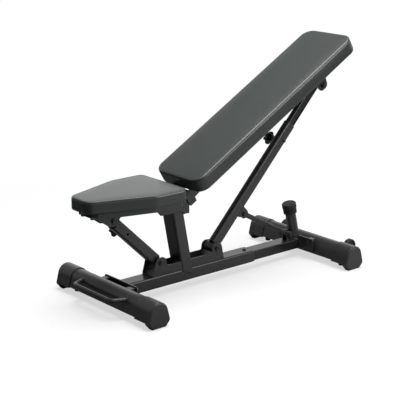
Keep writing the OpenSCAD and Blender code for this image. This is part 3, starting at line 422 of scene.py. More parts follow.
def finish_of(name, dark, light, rough, cloud, grain_scale, grain_depth, pebble=0.5, edge=0.0,
              edge_tone=(0.1, 0.1, 0.1), dusty=0.0, metal=0.0, specular=0.5, corner=0.0008):
    """A satin or matt finish: two tones, a range of roughness, a grain and softened corners."""
    material = bpy.data.materials.new(name)
    material.use_nodes = True
    tree = material.node_tree
    shader = tree.nodes["Principled BSDF"]
    place = tree.nodes.new("ShaderNodeTexCoord").outputs["Object"]
    clouds = noise(tree, place, cloud, 4.0, 0.55)
    colour = blend_colours(tree, spread(tree, clouds, 0.0, 1.0), dark, light)
    roughness = spread(tree, noise(tree, place, cloud * 3.0, 3.0), rough[0], rough[1], 0.0, 1.0)
    if edge:
        mask = use_group(tree, edges, Vector=place, Width=0.0014, Amount=edge)
        colour = blend_colours(tree, mask, colour, edge_tone)
    if dusty:
        layer = use_group(tree, dust, Vector=place, Amount=dusty)
        colour = blend_colours(tree, layer, colour, (0.16, 0.155, 0.15))
        roughness = maths(tree, "ADD", roughness, maths(tree, "MULTIPLY", layer, 0.3), clamp=True)
    tree.links.new(colour, shader.inputs["Base Color"])
    tree.links.new(roughness, shader.inputs["Roughness"])
    softened = None
    if corner:
        soft = tree.nodes.new("ShaderNodeBevel")
        soft.samples = 6
        soft.inputs["Radius"].default_value = corner
        softened = soft.outputs["Normal"]
    height = use_group(tree, grain, Vector=place, Scale=grain_scale, Pebbles=pebble)
    tree.links.new(bumped(tree, height, grain_depth, 1.0, softened), shader.inputs["Normal"])
    shader.inputs["Metallic"].default_value = metal
    shader.inputs["Specular IOR Level"].default_value = specular
    return material


powder_coat = finish_of("powder_coat", (0.030, 0.030, 0.031), (0.037, 0.037, 0.038), (0.23, 0.27), 5.0,
                        420.0, 0.00003, pebble=0.3, edge=0.35, edge_tone=(0.08, 0.08, 0.082), dusty=0.05,
                        corner=0.0012)
slide_paint = finish_of("slide_paint", (0.012, 0.012, 0.0125), (0.017, 0.017, 0.018), (0.21, 0.26), 8.0,
                        500.0, 0.00003, pebble=0.3, edge=0.3, edge_tone=(0.07, 0.07, 0.072), dusty=0.05)
black_oxide = finish_of("black_oxide", (0.035, 0.035, 0.037), (0.06, 0.06, 0.062), (0.30, 0.45), 60.0,
                        900.0, 0.00003, edge=0.5, edge_tone=(0.2, 0.2, 0.2), metal=0.55, corner=0.0005)
cap_plastic = finish_of("cap_plastic", (0.026, 0.026, 0.0265), (0.032, 0.032, 0.033), (0.26, 0.31), 8.0,
                        1500.0, 0.00003, pebble=1.0, edge=0.15, edge_tone=(0.05, 0.05, 0.05), dusty=0.12,
                        corner=0.0022)
knob_plastic = finish_of("knob_plastic", (0.007, 0.007, 0.0075), (0.011, 0.011, 0.0115), (0.24, 0.34), 20.0,
                         1300.0, 0.00003, pebble=0.8, dusty=0.05, corner=0.0006)
foot_rubber = finish_of("foot_rubber", (0.012, 0.012, 0.012), (0.019, 0.019, 0.019), (0.58, 0.72), 12.0,
                        1100.0, 0.00009, pebble=0.9, dusty=0.2, specular=0.35, corner=0.0010)
board_paint = finish_of("board_paint", (0.010, 0.011, 0.0105), (0.017, 0.018, 0.0175), (0.5, 0.62), 14.0,
                        260.0, 0.00012, pebble=0.2, dusty=0.0, corner=0.0020)
print("finishes", len(bpy.data.materials))

# %% [markdown]
# Vinyl over foam is smooth from afar and finely grained up close: small cells with shallow
# creases between them, which wander a little so they don't look printed. The creases are kept
# faint, because strong ones show as noise from afar, and their colour is darkened slightly as
# painted shade. The vinyl is stretched over the pads, so its tone drifts slowly, and its
# roughness is low enough for a soft shine at a low angle.

# %% The vinyl of the pads
def vinyl_finish(name, dark, light, rough):
    material = bpy.data.materials.new(name)
    material.use_nodes = True
    tree = material.node_tree
    shader = tree.nodes["Principled BSDF"]
    place = tree.nodes.new("ShaderNodeTexCoord").outputs["Object"]
    drift = noise(tree, place, 5.0, 3.0, 0.5)
    creases = tree.nodes.new("ShaderNodeTexVoronoi")
    creases.feature = "DISTANCE_TO_EDGE"
    creases.inputs["Scale"].default_value = 520.0
    wander = tree.nodes.new("ShaderNodeVectorMath")
    wander.operation = "MULTIPLY_ADD"
    wobble = tree.nodes.new("ShaderNodeTexNoise")
    wobble.inputs["Scale"].default_value = 260.0
    tree.links.new(place, wobble.inputs["Vector"])
    tree.links.new(wobble.outputs["Color"], wander.inputs[0])
    wander.inputs[1].default_value = (0.0012, 0.0012, 0.0012)
    tree.links.new(place, wander.inputs[2])
    tree.links.new(wander.outputs[0], creases.inputs["Vector"])
    crease_grain_and_shade = spread(tree, creases.outputs["Distance"], 0.0, 1.0, 0.0, 0.14)
    colour = blend_colours(tree, spread(tree, drift, 0.0, 1.0), dark, light)
    # Painted shade: the colour is darkened a little in the creases between the cells.
    colour = blend_colours(tree, spread(tree, crease_grain_and_shade, 0.06, 0.0, 0.0, 1.0), colour,
                           tuple(v * 0.55 for v in dark))
    layer = use_group(tree, dust, Vector=place, Amount=0.04)
    colour = blend_colours(tree, layer, colour, (0.2, 0.2, 0.195))
    tree.links.new(colour, shader.inputs["Base Color"])
    tree.links.new(spread(tree, noise(tree, place, 16.0, 4.0), rough[0], rough[1], 0.0, 1.0),
                   shader.inputs["Roughness"])
    pull = bumped(tree, noise(tree, place, 11.0, 2.0), 0.0009, 0.35)
    tree.links.new(bumped(tree, crease_grain_and_shade, 0.00004, 0.25, pull), shader.inputs["Normal"])
    shader.inputs["Specular IOR Level"].default_value = 0.55
    return material


pad_vinyl = vinyl_finish("pad_vinyl", (0.029, 0.035, 0.033), (0.034, 0.041, 0.039), (0.27, 0.31))
# The welt is a near-black vinyl: a dark cord whose colour also paints the shade of the seam groove.
welt_vinyl_painted_shade = vinyl_finish("pad_welt_painted_shade", (0.004, 0.005, 0.005), (0.006, 0.007, 0.007), (0.45, 0.55))
thread = finish_of("thread", (0.022, 0.026, 0.025), (0.032, 0.037, 0.035), (0.55, 0.7), 90.0,
                   3000.0, 0.00004, corner=0.0)
staple_steel = finish_of("staple_steel", (0.35, 0.35, 0.36), (0.5, 0.5, 0.51), (0.28, 0.4), 200.0, 1500.0,
                         0.00002, metal=0.9, corner=0.0)
print("vinyl", pad_vinyl.name, "thread", thread.name)

# %% [markdown]
# ## Dressing the solids
# Every solid that stays in view takes its finish by its kind: plates and tubes are powder
# coated, sliding tubes are painted a little smoother, bolts and screws are black oxide.

# %% Finishes on the frame's solids
by_slot = {"frame_paint": powder_coat, "inner_paint": slide_paint, "bolt_steel": black_oxide,
           "cap_plastic": cap_plastic, "knob_plastic": knob_plastic, "foot_rubber": foot_rubber,
           "pad_vinyl": pad_vinyl, "pad_board": board_paint}
for part in frame["record"]["subparts"]:
    dress(frame["nodes"][part["node"]], by_slot[part["material_slot"]])
dress(frame["nodes"]["seat_board"], pad_vinyl)

# %% [markdown]
# ## The padding
# Each pad is foam on a board, in a tight cover of vinyl: a top panel sewn to a band round the
# sides. The shape starts as a plain block, cut to the outline of the board with rounded corners.
# It is remeshed evenly, its underside is pinned to the board, and Blender's cloth is blown up
# very slightly inside it. The cover then crowns a little in the middle and pulls tight over its
# edges, which a bevelled block never does. How far a point may move is capped, so the pad keeps
# its drawn size.

# %% Block of the back pad
back_foot, back_head, back_width, back_thick = 0.001, 0.917, 0.257, 0.0585
cover_slack = -0.0002
crown_rise = 0.0008
rim_round, fullness, seam_drop = 0.0030, 0.0036, 0.0046
back_bevel, rear_bevel, shoulder_bevel, nose_bevel = 0.044, 0.021, 0.010, 0.027
back_round, rear_round, shoulder_round, nose_round = 0.045, 0.022, 0.060, 0.038


def round_upright_edges(piece, test, radius):
    pick(piece, "EDGE", lambda m, w: abs(w.z) > 0.9 and test(m))
    bpy.ops.mesh.bevel(offset=radius, segments=10, affect="EDGES", clamp_overlap=True)
    leave_edit()


def round_rim(piece, height, radius, segments=4):
    pick(piece, "EDGE", lambda m, w: abs(m.z - height) < 1e-5 and abs(w.z) < 0.1)
    bpy.ops.mesh.bevel(offset=radius, segments=segments, affect="EDGES", clamp_overlap=False)
    leave_edit()


pad_lift = 0.0004
low = Vector((back_foot + cover_slack, -back_width / 2 + cover_slack, pad_lift))
high = Vector((back_head - cover_slack, back_width / 2 - cover_slack, back_thick - crown_rise))
back_pad = cuboid("back_cushion", high - low, (low + high) / 2)
round_upright_edges(back_pad, lambda m: True, back_bevel)
round_rim(back_pad, back_thick - crown_rise, rim_round)
round_rim(back_pad, pad_lift, rim_round, 2)
print("back pad block", len(back_pad.data.polygons), "faces")

# %% Block of the seat pad
seat_rear, seat_long, seat_straight = 252.0, 385.5, 143.0
seat_half, nose_half = 0.138, 0.055
seat_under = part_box("seat_pad")[0].z + pad_lift
seat_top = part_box("seat_pad")[1].z + 0.002

rear_x, shoulder_x = bench(seat_rear, 0, 0).x, bench(seat_rear - seat_straight, 0, 0).x
nose_x = bench(seat_rear - seat_long, 0, 0).x
low = Vector((shoulder_x, -seat_half + cover_slack, seat_under))
high = Vector((rear_x - cover_slack, seat_half - cover_slack, seat_top - crown_rise))
seat_pad = cuboid("seat_cushion", high - low, (low + high) / 2)
# The front face is pulled forwards and narrowed into the tapered nose
pick(seat_pad, "FACE", lambda m, n: n.x < -0.9)
extrude((nose_x + cover_slack - shoulder_x, 0, 0))
bpy.ops.transform.resize(value=(1, (nose_half - cover_slack) / (seat_half - cover_slack), 1))
leave_edit()
pick(seat_pad, "EDGE", lambda m, w: abs(w.y) > 0.9 and abs(m.x - shoulder_x) < 0.001)
bpy.ops.mesh.dissolve_edges(use_verts=False)
leave_edit()
round_upright_edges(seat_pad, lambda m: m.x > rear_x - 0.01, rear_bevel)
round_upright_edges(seat_pad, lambda m: abs(m.x - shoulder_x) < 0.001, shoulder_bevel)
round_upright_edges(seat_pad, lambda m: m.x < nose_x + 0.01, nose_bevel)
round_rim(seat_pad, seat_top - crown_rise, rim_round)
round_rim(seat_pad, seat_under, rim_round, 2)
print("seat pad block", len(seat_pad.data.polygons), "faces")

# %% [markdown]
# The remesh gives the cover small even squares, which the cloth needs. Pressure fills it for
# twenty frames. Then every point goes back to its start plus its own movement, which fades out
# towards the cap, and one round of subdivision makes the surface smooth.

# %% Filling a cover
def calm_panel(piece, margin=0.014):
    """Evens out the top panel, away from the side walls, so that no dent of the remesh is left."""
    piece.data.update()
    points = piece.data.vertices
    walls = [v.co for v in points if abs(v.normal.z) < 0.3]
    near = kdtree.KDTree(len(walls))
    for i, p in enumerate(walls):
        near.insert((p.x, p.y, 0), i)
    near.balance()
    panel = [v.index for v in points if v.normal.z > 0.5 and near.find((v.co.x, v.co.y, 0))[2] > margin]
    piece.vertex_groups.new(name="panel").add(panel, 1.0, "ADD")
    apply_modifier(piece, "SMOOTH", factor=0.5, iterations=25, vertex_group="panel")
    piece.vertex_groups.clear()


def fill_cover(piece, under, cap, voxel=0.0051, pressure=0.25):
    activate(piece)
    piece.data.remesh_voxel_size = voxel
    bpy.ops.object.voxel_remesh()
    apply_modifier(piece, "SMOOTH", factor=0.5, iterations=4)
    start = [v.co.copy() for v in piece.data.vertices]
    pinned = [i for i, p in enumerate(start) if p.z < under + 0.006]
    board = piece.vertex_groups.new(name="board")
    board.add(pinned, 1.0, "ADD")
    moves = []
    cloth = piece.modifiers.new("Filling", "CLOTH")
    cover = cloth.settings
    cover.quality, cover.mass = 6, 0.25
    cover.tension_stiffness = cover.compression_stiffness = 60
    cover.shear_stiffness, cover.bending_stiffness = 30, 6
    cover.use_pressure, cover.uniform_pressure_force = True, pressure
    cover.effector_weights.gravity = 0
    cover.vertex_group_mass = "board"
    cloth.point_cache.frame_start, cloth.point_cache.frame_end = 1, 20
    for step in range(1, 21):
        bpy.context.scene.frame_set(step)
    filled = piece.evaluated_get(bpy.context.evaluated_depsgraph_get()).data
    moves = [v.co - p for v, p in zip(filled.vertices, start)]
    piece.modifiers.remove(cloth)
    bpy.context.scene.frame_set(1)
    for v, p, move in zip(piece.data.vertices, start, moves):
        v.co = p + move.normalized() * cap * (1 - exp(-move.length / cap))
    lengths = sorted(m.length for m in moves) or [0.0]
    piece.vertex_groups.clear()
    calm_panel(piece)
    apply_modifier(piece, "SUBSURF", levels=1, render_levels=1)
    smooth_by_angle(piece, 80)
    print(piece.name, "points", len(piece.data.vertices), "moved, middle and most, mm",
          round(lengths[len(lengths) // 2] * 1000, 2), round(lengths[-1] * 1000, 2))


fill_cover(back_pad, pad_lift, fullness)
fill_cover(seat_pad, seat_under, fullness)

# %% [markdown]
# ## Seams and stitches
# Where the top panel meets the side band, the two are sewn with a slim welt, a covered cord that
# stands half proud, and a row of stitches on the panel just inside it. The welt is a much darker
# vinyl than the pad, and its dark colour also paints the shade of the seam's groove. Both follow
# the filled surface: the outline is walked in small steps, and at each step a ray finds the vinyl.

# %% The outline of a pad
def rounded_outline(corners, step=0.006):
    """Walks a closed outline of (x, y, radius) corners and returns places and outward normals."""
    points = []
    count = len(corners)
    for i, (x, y, r) in enumerate(corners):
        here = Vector((x, y))
        back_way = (Vector(corners[i - 1][:2]) - here).normalized()
        on_way = (Vector(corners[(i + 1) % count][:2]) - here).normalized()
        half = back_way.angle(on_way) / 2
        centre = here + (back_way + on_way).normalized() * (r / sin(half))
        first = here + back_way * (r / (sin(half) / cos(half)))
        last = here + on_way * (r / (sin(half) / cos(half)))
        a, b = first - centre, last - centre
        for k in range(9):
            points.append(centre + a.slerp(b, k / 8).normalized() * r)
    walk = []
    for p, q in zip(points, points[1:] + points[:1]):
        parts = max(1, round((q - p).length / step))
        walk += [p.lerp(q, k / parts) for k in range(parts)]
    middle = sum(walk, Vector((0, 0))) / len(walk)
    result = []
    for i, p in enumerate(walk):
        along = walk[(i + 1) % len(walk)] - walk[i - 1]
        out = Vector((along.y, -along.x)).normalized()
        if out.dot(p - middle) < 0:
            out = -out
        result.append((p, out))
    return result


back_corners = [(x, side * back_width / 2, back_round) for x, side in
                ((back_foot, -1), (back_head, -1), (back_head, 1), (back_foot, 1))]
seat_corners = [(rear_x, -seat_half, rear_round), (rear_x, seat_half, rear_round),
                (shoulder_x, seat_half, shoulder_round), (nose_x, nose_half, nose_round),
                (nose_x, -nose_half, nose_round), (shoulder_x, -seat_half, shoulder_round)]
back_walk, seat_walk = rounded_outline(back_corners), rounded_outline(seat_corners)
print("steps round the back", len(back_walk), "and the seat", len(seat_walk))

# %% Welts and stitches on a pad
def spots_along(walk, inset, spacing, need=0.0):
    """Even spots inside an outline, as the way gone so far, the place and the step it lies on."""
    gone = 0.0
    for (p, out), (q, _) in zip(walk, walk[1:] + walk[:1]):
        stretch = (q - p).length
        while need <= gone + stretch:
            yield need, p.lerp(q, (need - gone) / stretch) - out * inset, p, q
            need += spacing
        gone += stretch


def tube_along(name, points, radius, closed=True, sides=3):
    """A round cord through the points, made as a curve and turned into a mesh."""
    clear_selection()
    bpy.ops.curve.primitive_bezier_circle_add(radius=0.01)
    cord = named(name)
    cord.data.splines.clear()
    line = cord.data.splines.new("POLY")
    line.points.add(len(points) - 1)
    for knot, p in zip(line.points, points):
        knot.co = (*p, 1)
    line.use_cyclic_u = closed
    cord.data.dimensions = "3D"
    cord.data.bevel_depth, cord.data.bevel_resolution = radius, sides
    cord.data.use_fill_caps = not closed
    activate(cord)
    bpy.ops.object.convert(target="MESH")
    return smooth_by_angle(tidy_shell(named(name)), 60)


def stitch_model():
    clear_selection()
    bpy.ops.mesh.primitive_cylinder_add(vertices=6, radius=0.00042, depth=0.0036, rotation=(0, pi / 2, 0))
    stitch = settle(named("stitch"))
    pick(stitch, "FACE", lambda m, n: abs(n.x) > 0.9)
    extrude((0, 0, -0.0004))
    bpy.ops.transform.resize(value=(1.18, 0.4, 0.4))
    leave_edit()
    return smooth_by_angle(tidy_shell(stitch), 60)


def pinch(pad, height, depth=0.0020, reach=0.0023):
    """Draws the cover in along the seam, where the sewing pulls it tight."""
    ways = [v.normal.copy() for v in pad.data.vertices]
    for v, way in zip(pad.data.vertices, ways):
        v.co -= way * depth * exp(-((v.co.z - height) / reach) ** 2) * (1 - 0.7 * abs(way.z))
    pad.data.update()


def sew(name, pad, walk, welt_height, top, inset=0.0085, spacing=0.0062):
    pinch(pad, welt_height)
    cover = BVHTree.FromObject(pad, bpy.context.evaluated_depsgraph_get())
    edge, rows = [], []
    for p, out in walk:
        start = Vector((*(p + out * 0.03), welt_height))
        hit = cover.ray_cast(start, Vector((-out.x, -out.y, 0)))[0]
        edge.append((hit or Vector((*p, welt_height))) - Vector((*out, 0)) * 0.0001)
    welt = tube_along(name + "_welt", edge, 0.0014)
    for _, spot, p, q in spots_along(walk, inset, spacing):
        hit, normal = cover.ray_cast(Vector((*spot, top + 0.03)), Vector((0, 0, -1)))[:2]
        if hit:
            along = Vector((q.x - p.x, q.y - p.y, 0)).normalized()
            side = normal.cross(along).normalized()
            along = side.cross(normal)
            turn = Matrix((along, side, normal)).transposed().to_4x4()
            rows.append(Matrix.Translation(hit + normal * 0.00005) @ turn)
    stitches = set_out(name + "_stitches", stitch_model(), rows)
    length = sum((q - p).length for (p, _), (q, _) in zip(walk, walk[1:] + walk[:1]))
    print(name, "welt", round(length, 3), "m, stitches", len(rows))
    return welt, stitches


back_welt, back_stitches = sew("back", back_pad, back_walk, back_thick - seam_drop, back_thick)
seat_welt, seat_stitches = sew("seat", seat_pad, seat_walk, seat_top - seam_drop, seat_top)

# %% [markdown]
# ## The turned-in cover
# Under the back, the vinyl is folded over the edge of the board and stapled down. The strip is a
# flat band with the outline of the pad, and the staples sit across it in a row.

# %% Turned-in strip and staples
def strip_under(name, walk, outer, inner, low, thick):
    """A flat band between two insets from the outline."""
    clear_selection()
    bpy.ops.mesh.primitive_circle_add(vertices=len(walk), radius=0.1, fill_type="NOTHING")
    band = named(name)
    for v, (p, out) in zip(band.data.vertices, walk):
        v.co = Vector((*(p - out * outer), low))
    pick(band, "EDGE", lambda m, w: True)
    bpy.ops.mesh.extrude_edges_move()
    mesh = bmesh.from_edit_mesh(band.data)
    mesh.verts.ensure_lookup_table()
    for k, (p, out) in enumerate(walk):
        ripple = 0.0010 * sin(k * 1.7)
        mesh.verts[len(walk) + k].co = Vector((*(p - out * (inner + ripple)), low))
    bmesh.update_edit_mesh(band.data)
    bpy.ops.mesh.select_all(action="SELECT")
    extrude((0, 0, thick))
    leave_edit()
    return tidy_shell(band)


def staple_model():
    staple = cuboid("staple", (0.0095, 0.0011, 0.0005), (0, 0, -0.0002))
    apply_modifier(staple, "BEVEL", width=0.00018, segments=2, limit_method="ANGLE")
    return smooth_by_angle(staple, 40)


def staples_under(name, walk, inset, low, spacing):
    places = []
    for gone, spot, p, q in spots_along(walk, inset, spacing, 0.02):
        along = atan2(q.y - p.y, q.x - p.x) + 0.25 * sin(gone * 90)
        places.append(Matrix.Translation((*spot, low)) @ Matrix.Rotation(along, 4, "Z"))
    return set_out(name, staple_model(), places)


back_turn_in = strip_under("back_turn_in", back_walk, outer=0.0045, inner=0.031, low=-0.00025,
                           thick=0.0009)
back_staples = staples_under("back_staples", back_walk, inset=0.024, low=-0.0003, spacing=0.034)
print("turned-in strip", len(back_turn_in.data.polygons), "faces")

# %% Padding onto its bodies
for piece, finish in ((back_pad, pad_vinyl), (back_welt, welt_vinyl_painted_shade), (back_stitches, thread),
                      (back_turn_in, pad_vinyl), (back_staples, staple_steel)):
    dress(piece, finish)
    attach(moved(piece, back_frame), "back")
for piece, finish in ((seat_pad, pad_vinyl), (seat_welt, welt_vinyl_painted_shade), (seat_stitches, thread)):
    dress(piece, finish)
    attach(piece, "seat")
for pad, node in ((back_pad, "back_pad"), (seat_pad, "seat_pad")):
    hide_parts(node)
print("pads ride on", body_of(back_pad), body_of(seat_pad))

# %% [markdown]
# ## Bolts
# All pivots turn on the same bolt: a forged hexagon head with a dished top and a flat washer on
# one side, and a lock nut with a nylon ring on the other. The head and the nut are modelled once
# round the origin, along Y. Each bolt is then a copy of both, set as far apart as its pieces are
# wide, with a shank between them.

# %% Head and nut
def turned(name, radius, low, high, sides=40, soften=0.0):
    """A disc or rod along Y between two heights, with its rims softened."""
    clear_selection()
    bpy.ops.mesh.primitive_cylinder_add(vertices=sides, radius=radius, depth=high - low,
                                        location=(0, (low + high) / 2, 0), rotation=(pi / 2, 0, 0))
    piece = settle(named(name))
    if soften:
        apply_modifier(piece, "BEVEL", width=soften, segments=2, limit_method="ANGLE",
                       angle_limit=radians(60))
    return piece


def hexagon(name, radius, low, high, chamfer_low, chamfer_high):
    """A hexagon along Y whose corners are turned down to a cone at one or both ends."""
    block = turned(name, radius, low, high, sides=6)
    cutter = turned("turning", radius * 1.004, low, high, sides=48)
    ends = [y for y, used in ((low, chamfer_low), (high, chamfer_high)) if used]
    pick(cutter, "EDGE", lambda m, w: any(abs(m.y - y) < 1e-6 for y in ends) and abs(w.y) < 0.1)
    bpy.ops.mesh.bevel(offset=radius * 0.13, segments=1, affect="EDGES")
    leave_edit()
    for v in cutter.data.vertices:
        if any(abs(v.co.y - y) < 1e-6 for y in ends):
            continue
        nearest = min(ends, key=lambda y: abs(v.co.y - y))
        v.co.y = nearest + (v.co.y - nearest) * 0.5
    for v in cutter.data.vertices:
        if not chamfer_low and v.co.y < (low + high) / 2:
            v.co.y = low - 0.001
        if not chamfer_high and v.co.y > (low + high) / 2:
            v.co.y = high + 0.001
    apply_modifier(block, "BOOLEAN", operation="INTERSECT", solver="EXACT", object=cutter)
    bpy.data.objects.remove(cutter)
    return tidy_shell(block)


washer_t, head_t, nut_t = 0.0015, 0.0066, 0.0066
head_r, washer_r = 0.0105, 0.0114
head = hexagon("bolt_head", head_r, -washer_t - head_t, -washer_t, True, False)
pick(head, "FACE", lambda m, n: n.y < -0.98 and abs(m.y + washer_t + head_t) < 1e-5)
bpy.ops.mesh.inset(thickness=0.0022)
bpy.ops.mesh.inset(thickness=0.0009)
bpy.ops.transform.translate(value=(0, 0.0006, 0))
leave_edit()
head_model = joined("head_model", [head, turned("washer", washer_r, -washer_t, 0, soften=0.0003)])

ring = turned("nylon_ring", 0.0078, washer_t + nut_t - 0.0002, washer_t + nut_t + 0.0012, 32, 0.0004)
nut = hexagon("lock_nut", head_r, washer_t, washer_t + nut_t, True, True)
tip = turned("thread_tip", 0.0052, washer_t + nut_t, washer_t + nut_t + 0.0027, 24, 0.0005)
crests = []
for k in range(2):
    low_y = washer_t + nut_t + 0.0006 + k * 0.0009
    crests.append(turned("crest", 0.0060, low_y, low_y + 0.0007, 24, 0.0003))
nut_model = joined("nut_model", [nut, ring, tip, *crests,
                                 turned("washer", washer_r, 0, washer_t, soften=0.0003)])
for piece in (head_model, nut_model):
    dress(piece, black_oxide)
    smooth_by_angle(tidy_shell(piece), 30)
print("head", len(head_model.data.polygons), "nut", len(nut_model.data.polygons), "faces")


# %% A bolt in every pivot
def pivot_bolt(name, node, body):
    low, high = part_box(node)
    half = -low.y - washer_t - head_t
    middle = Matrix.Translation(((low.x + high.x) / 2, 0, (low.z + high.z) / 2))
    turn = Matrix.Rotation(radians(17 * len(name)), 4, "Y")
    shank = turned("shank", 0.006, -half, half, 32)
    dress(shank, black_oxide)
    pieces = [copied(head_model, middle @ Matrix.Translation((0, -half, 0)) @ turn),
              copied(nut_model, middle @ Matrix.Translation((0, half, 0)) @ turn),
              moved(shank, middle)]
    bolt = joined(name, pieces)
    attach(bolt, body)
    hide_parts(node)
    return bolt


for name, node, body in (
    ("seat_hinge_fixing", "seat_hinge_bolt", "frame"),
    ("back_hinge_fixing", "back_hinge_bolt", "frame"),
    ("seat_strut_fixing", "seat_strut_foot_bolt", "frame"),
    ("back_strut_fixing", "back_strut_foot_bolt", "frame"),
    ("link_fixing", "link_pivot_bolt", "strut_outer"),
    ("seat_lug_fixing", "seat_lug_bolt", "seat"),
):
    print(name, in_mm(pivot_bolt(name, node, body).dimensions))

# %% Spacer tube on the hinge of the back
hinge = pivots["back_tilt"]
spacer = turned("back_hinge_spacer", 0.0108, -0.0358, 0.0358, 48)
pick(spacer, "FACE", lambda m, n: abs(n.y) > 0.98)
extrude((0, 0, 0))
bpy.ops.transform.resize(value=(1.0, 0.93, 1.0))
leave_edit()
apply_modifier(spacer, "BEVEL", width=0.0008, segments=3, limit_method="ANGLE", angle_limit=radians(60))
dress(spacer, powder_coat)
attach(moved(smooth_by_angle(tidy_shell(spacer)), Matrix.Translation((hinge.x, 0, hinge.z))), "frame")
print("spacer", in_mm(spacer.dimensions))

# %% Flange bolts, along X
def flange_bolts(name, node, body, way):
    low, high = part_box(node)
    size = (high.z - low.z) / 2 / washer_r
    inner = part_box("front_flange" if way > 0 else "rear_flange")[1 if way > 0 else 0].x
    half_y = high.y - (high.z - low.z) / 2
    aim_x = Matrix.Rotation(radians(90 if way > 0 else -90), 4, "Z")
    pieces = []
    for y in (-half_y, half_y):
        place = Matrix.Translation((inner, y, (low.z + high.z) / 2)) @ aim_x @ Matrix.Scale(size, 4)
        pieces.append(copied(head_model, place))
        shank = turned("shank", 0.0060, 0, 0.024, 24, 0.0008)
        dress(shank, black_oxide)
        pieces.append(moved(shank, place))
    bolts = joined(name, pieces)
    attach(bolts, body)
    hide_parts(node)
    print(name, in_mm(bolts.dimensions))


flange_bolts("front_flange_fixings", "front_flange_bolts", "frame", 1)
flange_bolts("rear_flange_fixings", "rear_flange_bolts", "rear_base", -1)
for model in (head_model, nut_model):
    bpy.data.objects.remove(model)

# %% [markdown]
# ## Knobs of the pull pins
# A knob is a moulded star grip: six soft lobes for the fingers, a rounded rim on both sides, a
# dished face with a small raised cap, and a hub towards the tube.

# %% Knob
grip_r = 0.0234


def knob_model():
    grip = turned("grip", grip_r, 0.005, 0.022, sides=96)
    pick(grip, "EDGE", lambda m, w: abs(w.y) < 0.1)
    bpy.ops.mesh.bevel(offset=0.0030, segments=4, affect="EDGES")
    pick(grip, "FACE", lambda m, n: n.y > 0.98 and (m.x ** 2 + m.z ** 2) ** 0.5 < 0.002)
    for inset, lift in ((0.0036, 0), (0.0012, -0.0011), (0.0050, 0), (0.0010, 0.0009), (0.0030, 0.0002)):
        bpy.ops.mesh.inset(thickness=inset)
        bpy.ops.transform.translate(value=(0, lift, 0))
    leave_edit()
    # The lobes are pulled out of the round shape, and fade towards its middle
    for v in grip.data.vertices:
        out = (v.co.x ** 2 + v.co.z ** 2) ** 0.5 / grip_r
        size = 1 + 3.6 / 23.4 * cos(6 * atan2(v.co.z, v.co.x)) * min(1.0, out) ** 3
        v.co.x, v.co.z = v.co.x * size, v.co.z * size
    hub = turned("hub", 0.0135, 0, 0.006, 48, 0.0012)
    knob = joined("knob", [grip, hub])
    dress(knob, knob_plastic)
    return smooth_by_angle(tidy_shell(knob), 40)


for name, node, body in (("back_grip", "back_knob", "back_lock"), ("seat_grip", "seat_knob", "seat_lock")):
    low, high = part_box(node)
    knob = moved(knob_model(), Matrix.Translation(((low.x + high.x) / 2, low.y, (low.z + high.z) / 2)))
    knob.name = knob.data.name = name
    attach(knob, body)
    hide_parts(node)
    print(name, in_mm(knob.dimensions))

# %% [markdown]
# ## Weld beads
# The frame is welded where its tubes and plates meet. A bead is a row of overlapping ripples.
# One ripple is a ball, flattened underneath and drawn out to one side, and the row is laid along
# the joint with each ripple turned slightly.

# %% One ripple, and rows of it
def ripple_model():
    clear_selection()
    bpy.ops.mesh.primitive_uv_sphere_add(segments=10, ring_count=6, radius=0.001)
    ripple = named("ripple")
    activate(ripple)
    bpy.ops.object.mode_set(mode="EDIT")
    bpy.ops.mesh.select_all(action="SELECT")
    bpy.ops.transform.resize(value=(1.7, 2.9, 2.0))
    leave_edit()
    for v in ripple.data.vertices:
        if v.co.z < 0:
            v.co.z *= 0.4
        v.co.x += 0.0005 * (v.co.y / 0.0029) ** 2
    dress(ripple, powder_coat)
    return smooth_by_angle(ripple, 60)


def bead_along(line, ways, step=0.0021):
    """Places along a line of points, each with the way its bead faces."""
    places, gone, need = [], 0.0, 0.0
    for a, b, way in zip(line, line[1:], ways):
        along = (b - a).normalized()
        side = way.cross(along).normalized()
        up = along.cross(side)
        turn = Matrix((along, side, up)).transposed().to_4x4()
        length = (b - a).length
        while need <= gone + length:
            wobble = Matrix.Rotation(0.10 * sin(need * 2300), 4, "Z")
            size = 1 + 0.07 * sin(need * 1300)
            places.append(Matrix.Translation(a + along * (need - gone)) @ turn @ wobble
                          @ Matrix.Scale(size, 4))
            need += step
        gone += length
    return places


def straight_bead(a, b, way):
    return bead_along([bench(*a), bench(*b)], [Vector(way).normalized()])


beads = []
for side in (-1, 1):
    # Main beam on the front flange
    beads += straight_bead((50.6, side * 33.2, 39), (50.6, side * 33.2, 73), (1, side, 0))
    # Seat post beside the beam
    beads += straight_bead((309, side * 33.3, 75.6), (360, side * 33.3, 55.2), (-0.25, side, -0.7))
beads += straight_bead((50.6, -27, 79.7), (50.6, 27, 79.7), (1, 0, 1))
# Head plates on the post, following the plates' lower edge
plates = BVHTree.FromObject(bpy.data.objects["head_bracket"], bpy.context.evaluated_depsgraph_get())
for side in (-1, 1):
    line = []
    for x in range(270, 315, 4):
        hit = plates.ray_cast(bench(x, side * 38.5, 280), Vector((0, 0, 1)))[0]
        if hit:
            line.append(Vector((hit.x, side * 0.0364, hit.z - 0.0004)))
    if len(line) > 1:
        beads += bead_along(line, [Vector((0, side, -1)).normalized()] * (len(line) - 1))
# Ends of the carrying handle on the base tube
handle_low, handle_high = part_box("carry_handle")
for side in (-1, 1):
    middle = Vector((handle_high.x - 0.0055, side * 0.134, (handle_low.z + handle_high.z) / 2))
    circle = [middle + Vector((0, cos(t * pi / 12), sin(t * pi / 12))) * 0.0088 for t in range(25)]
    beads += bead_along(circle, [Vector((-0.7, cos(t * pi / 12), sin(t * pi / 12))).normalized()
                                 for t in range(24)])
frame_welds = set_out("frame_welds", ripple_model(), beads)
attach(frame_welds, "frame")
print("frame ripples", len(beads))

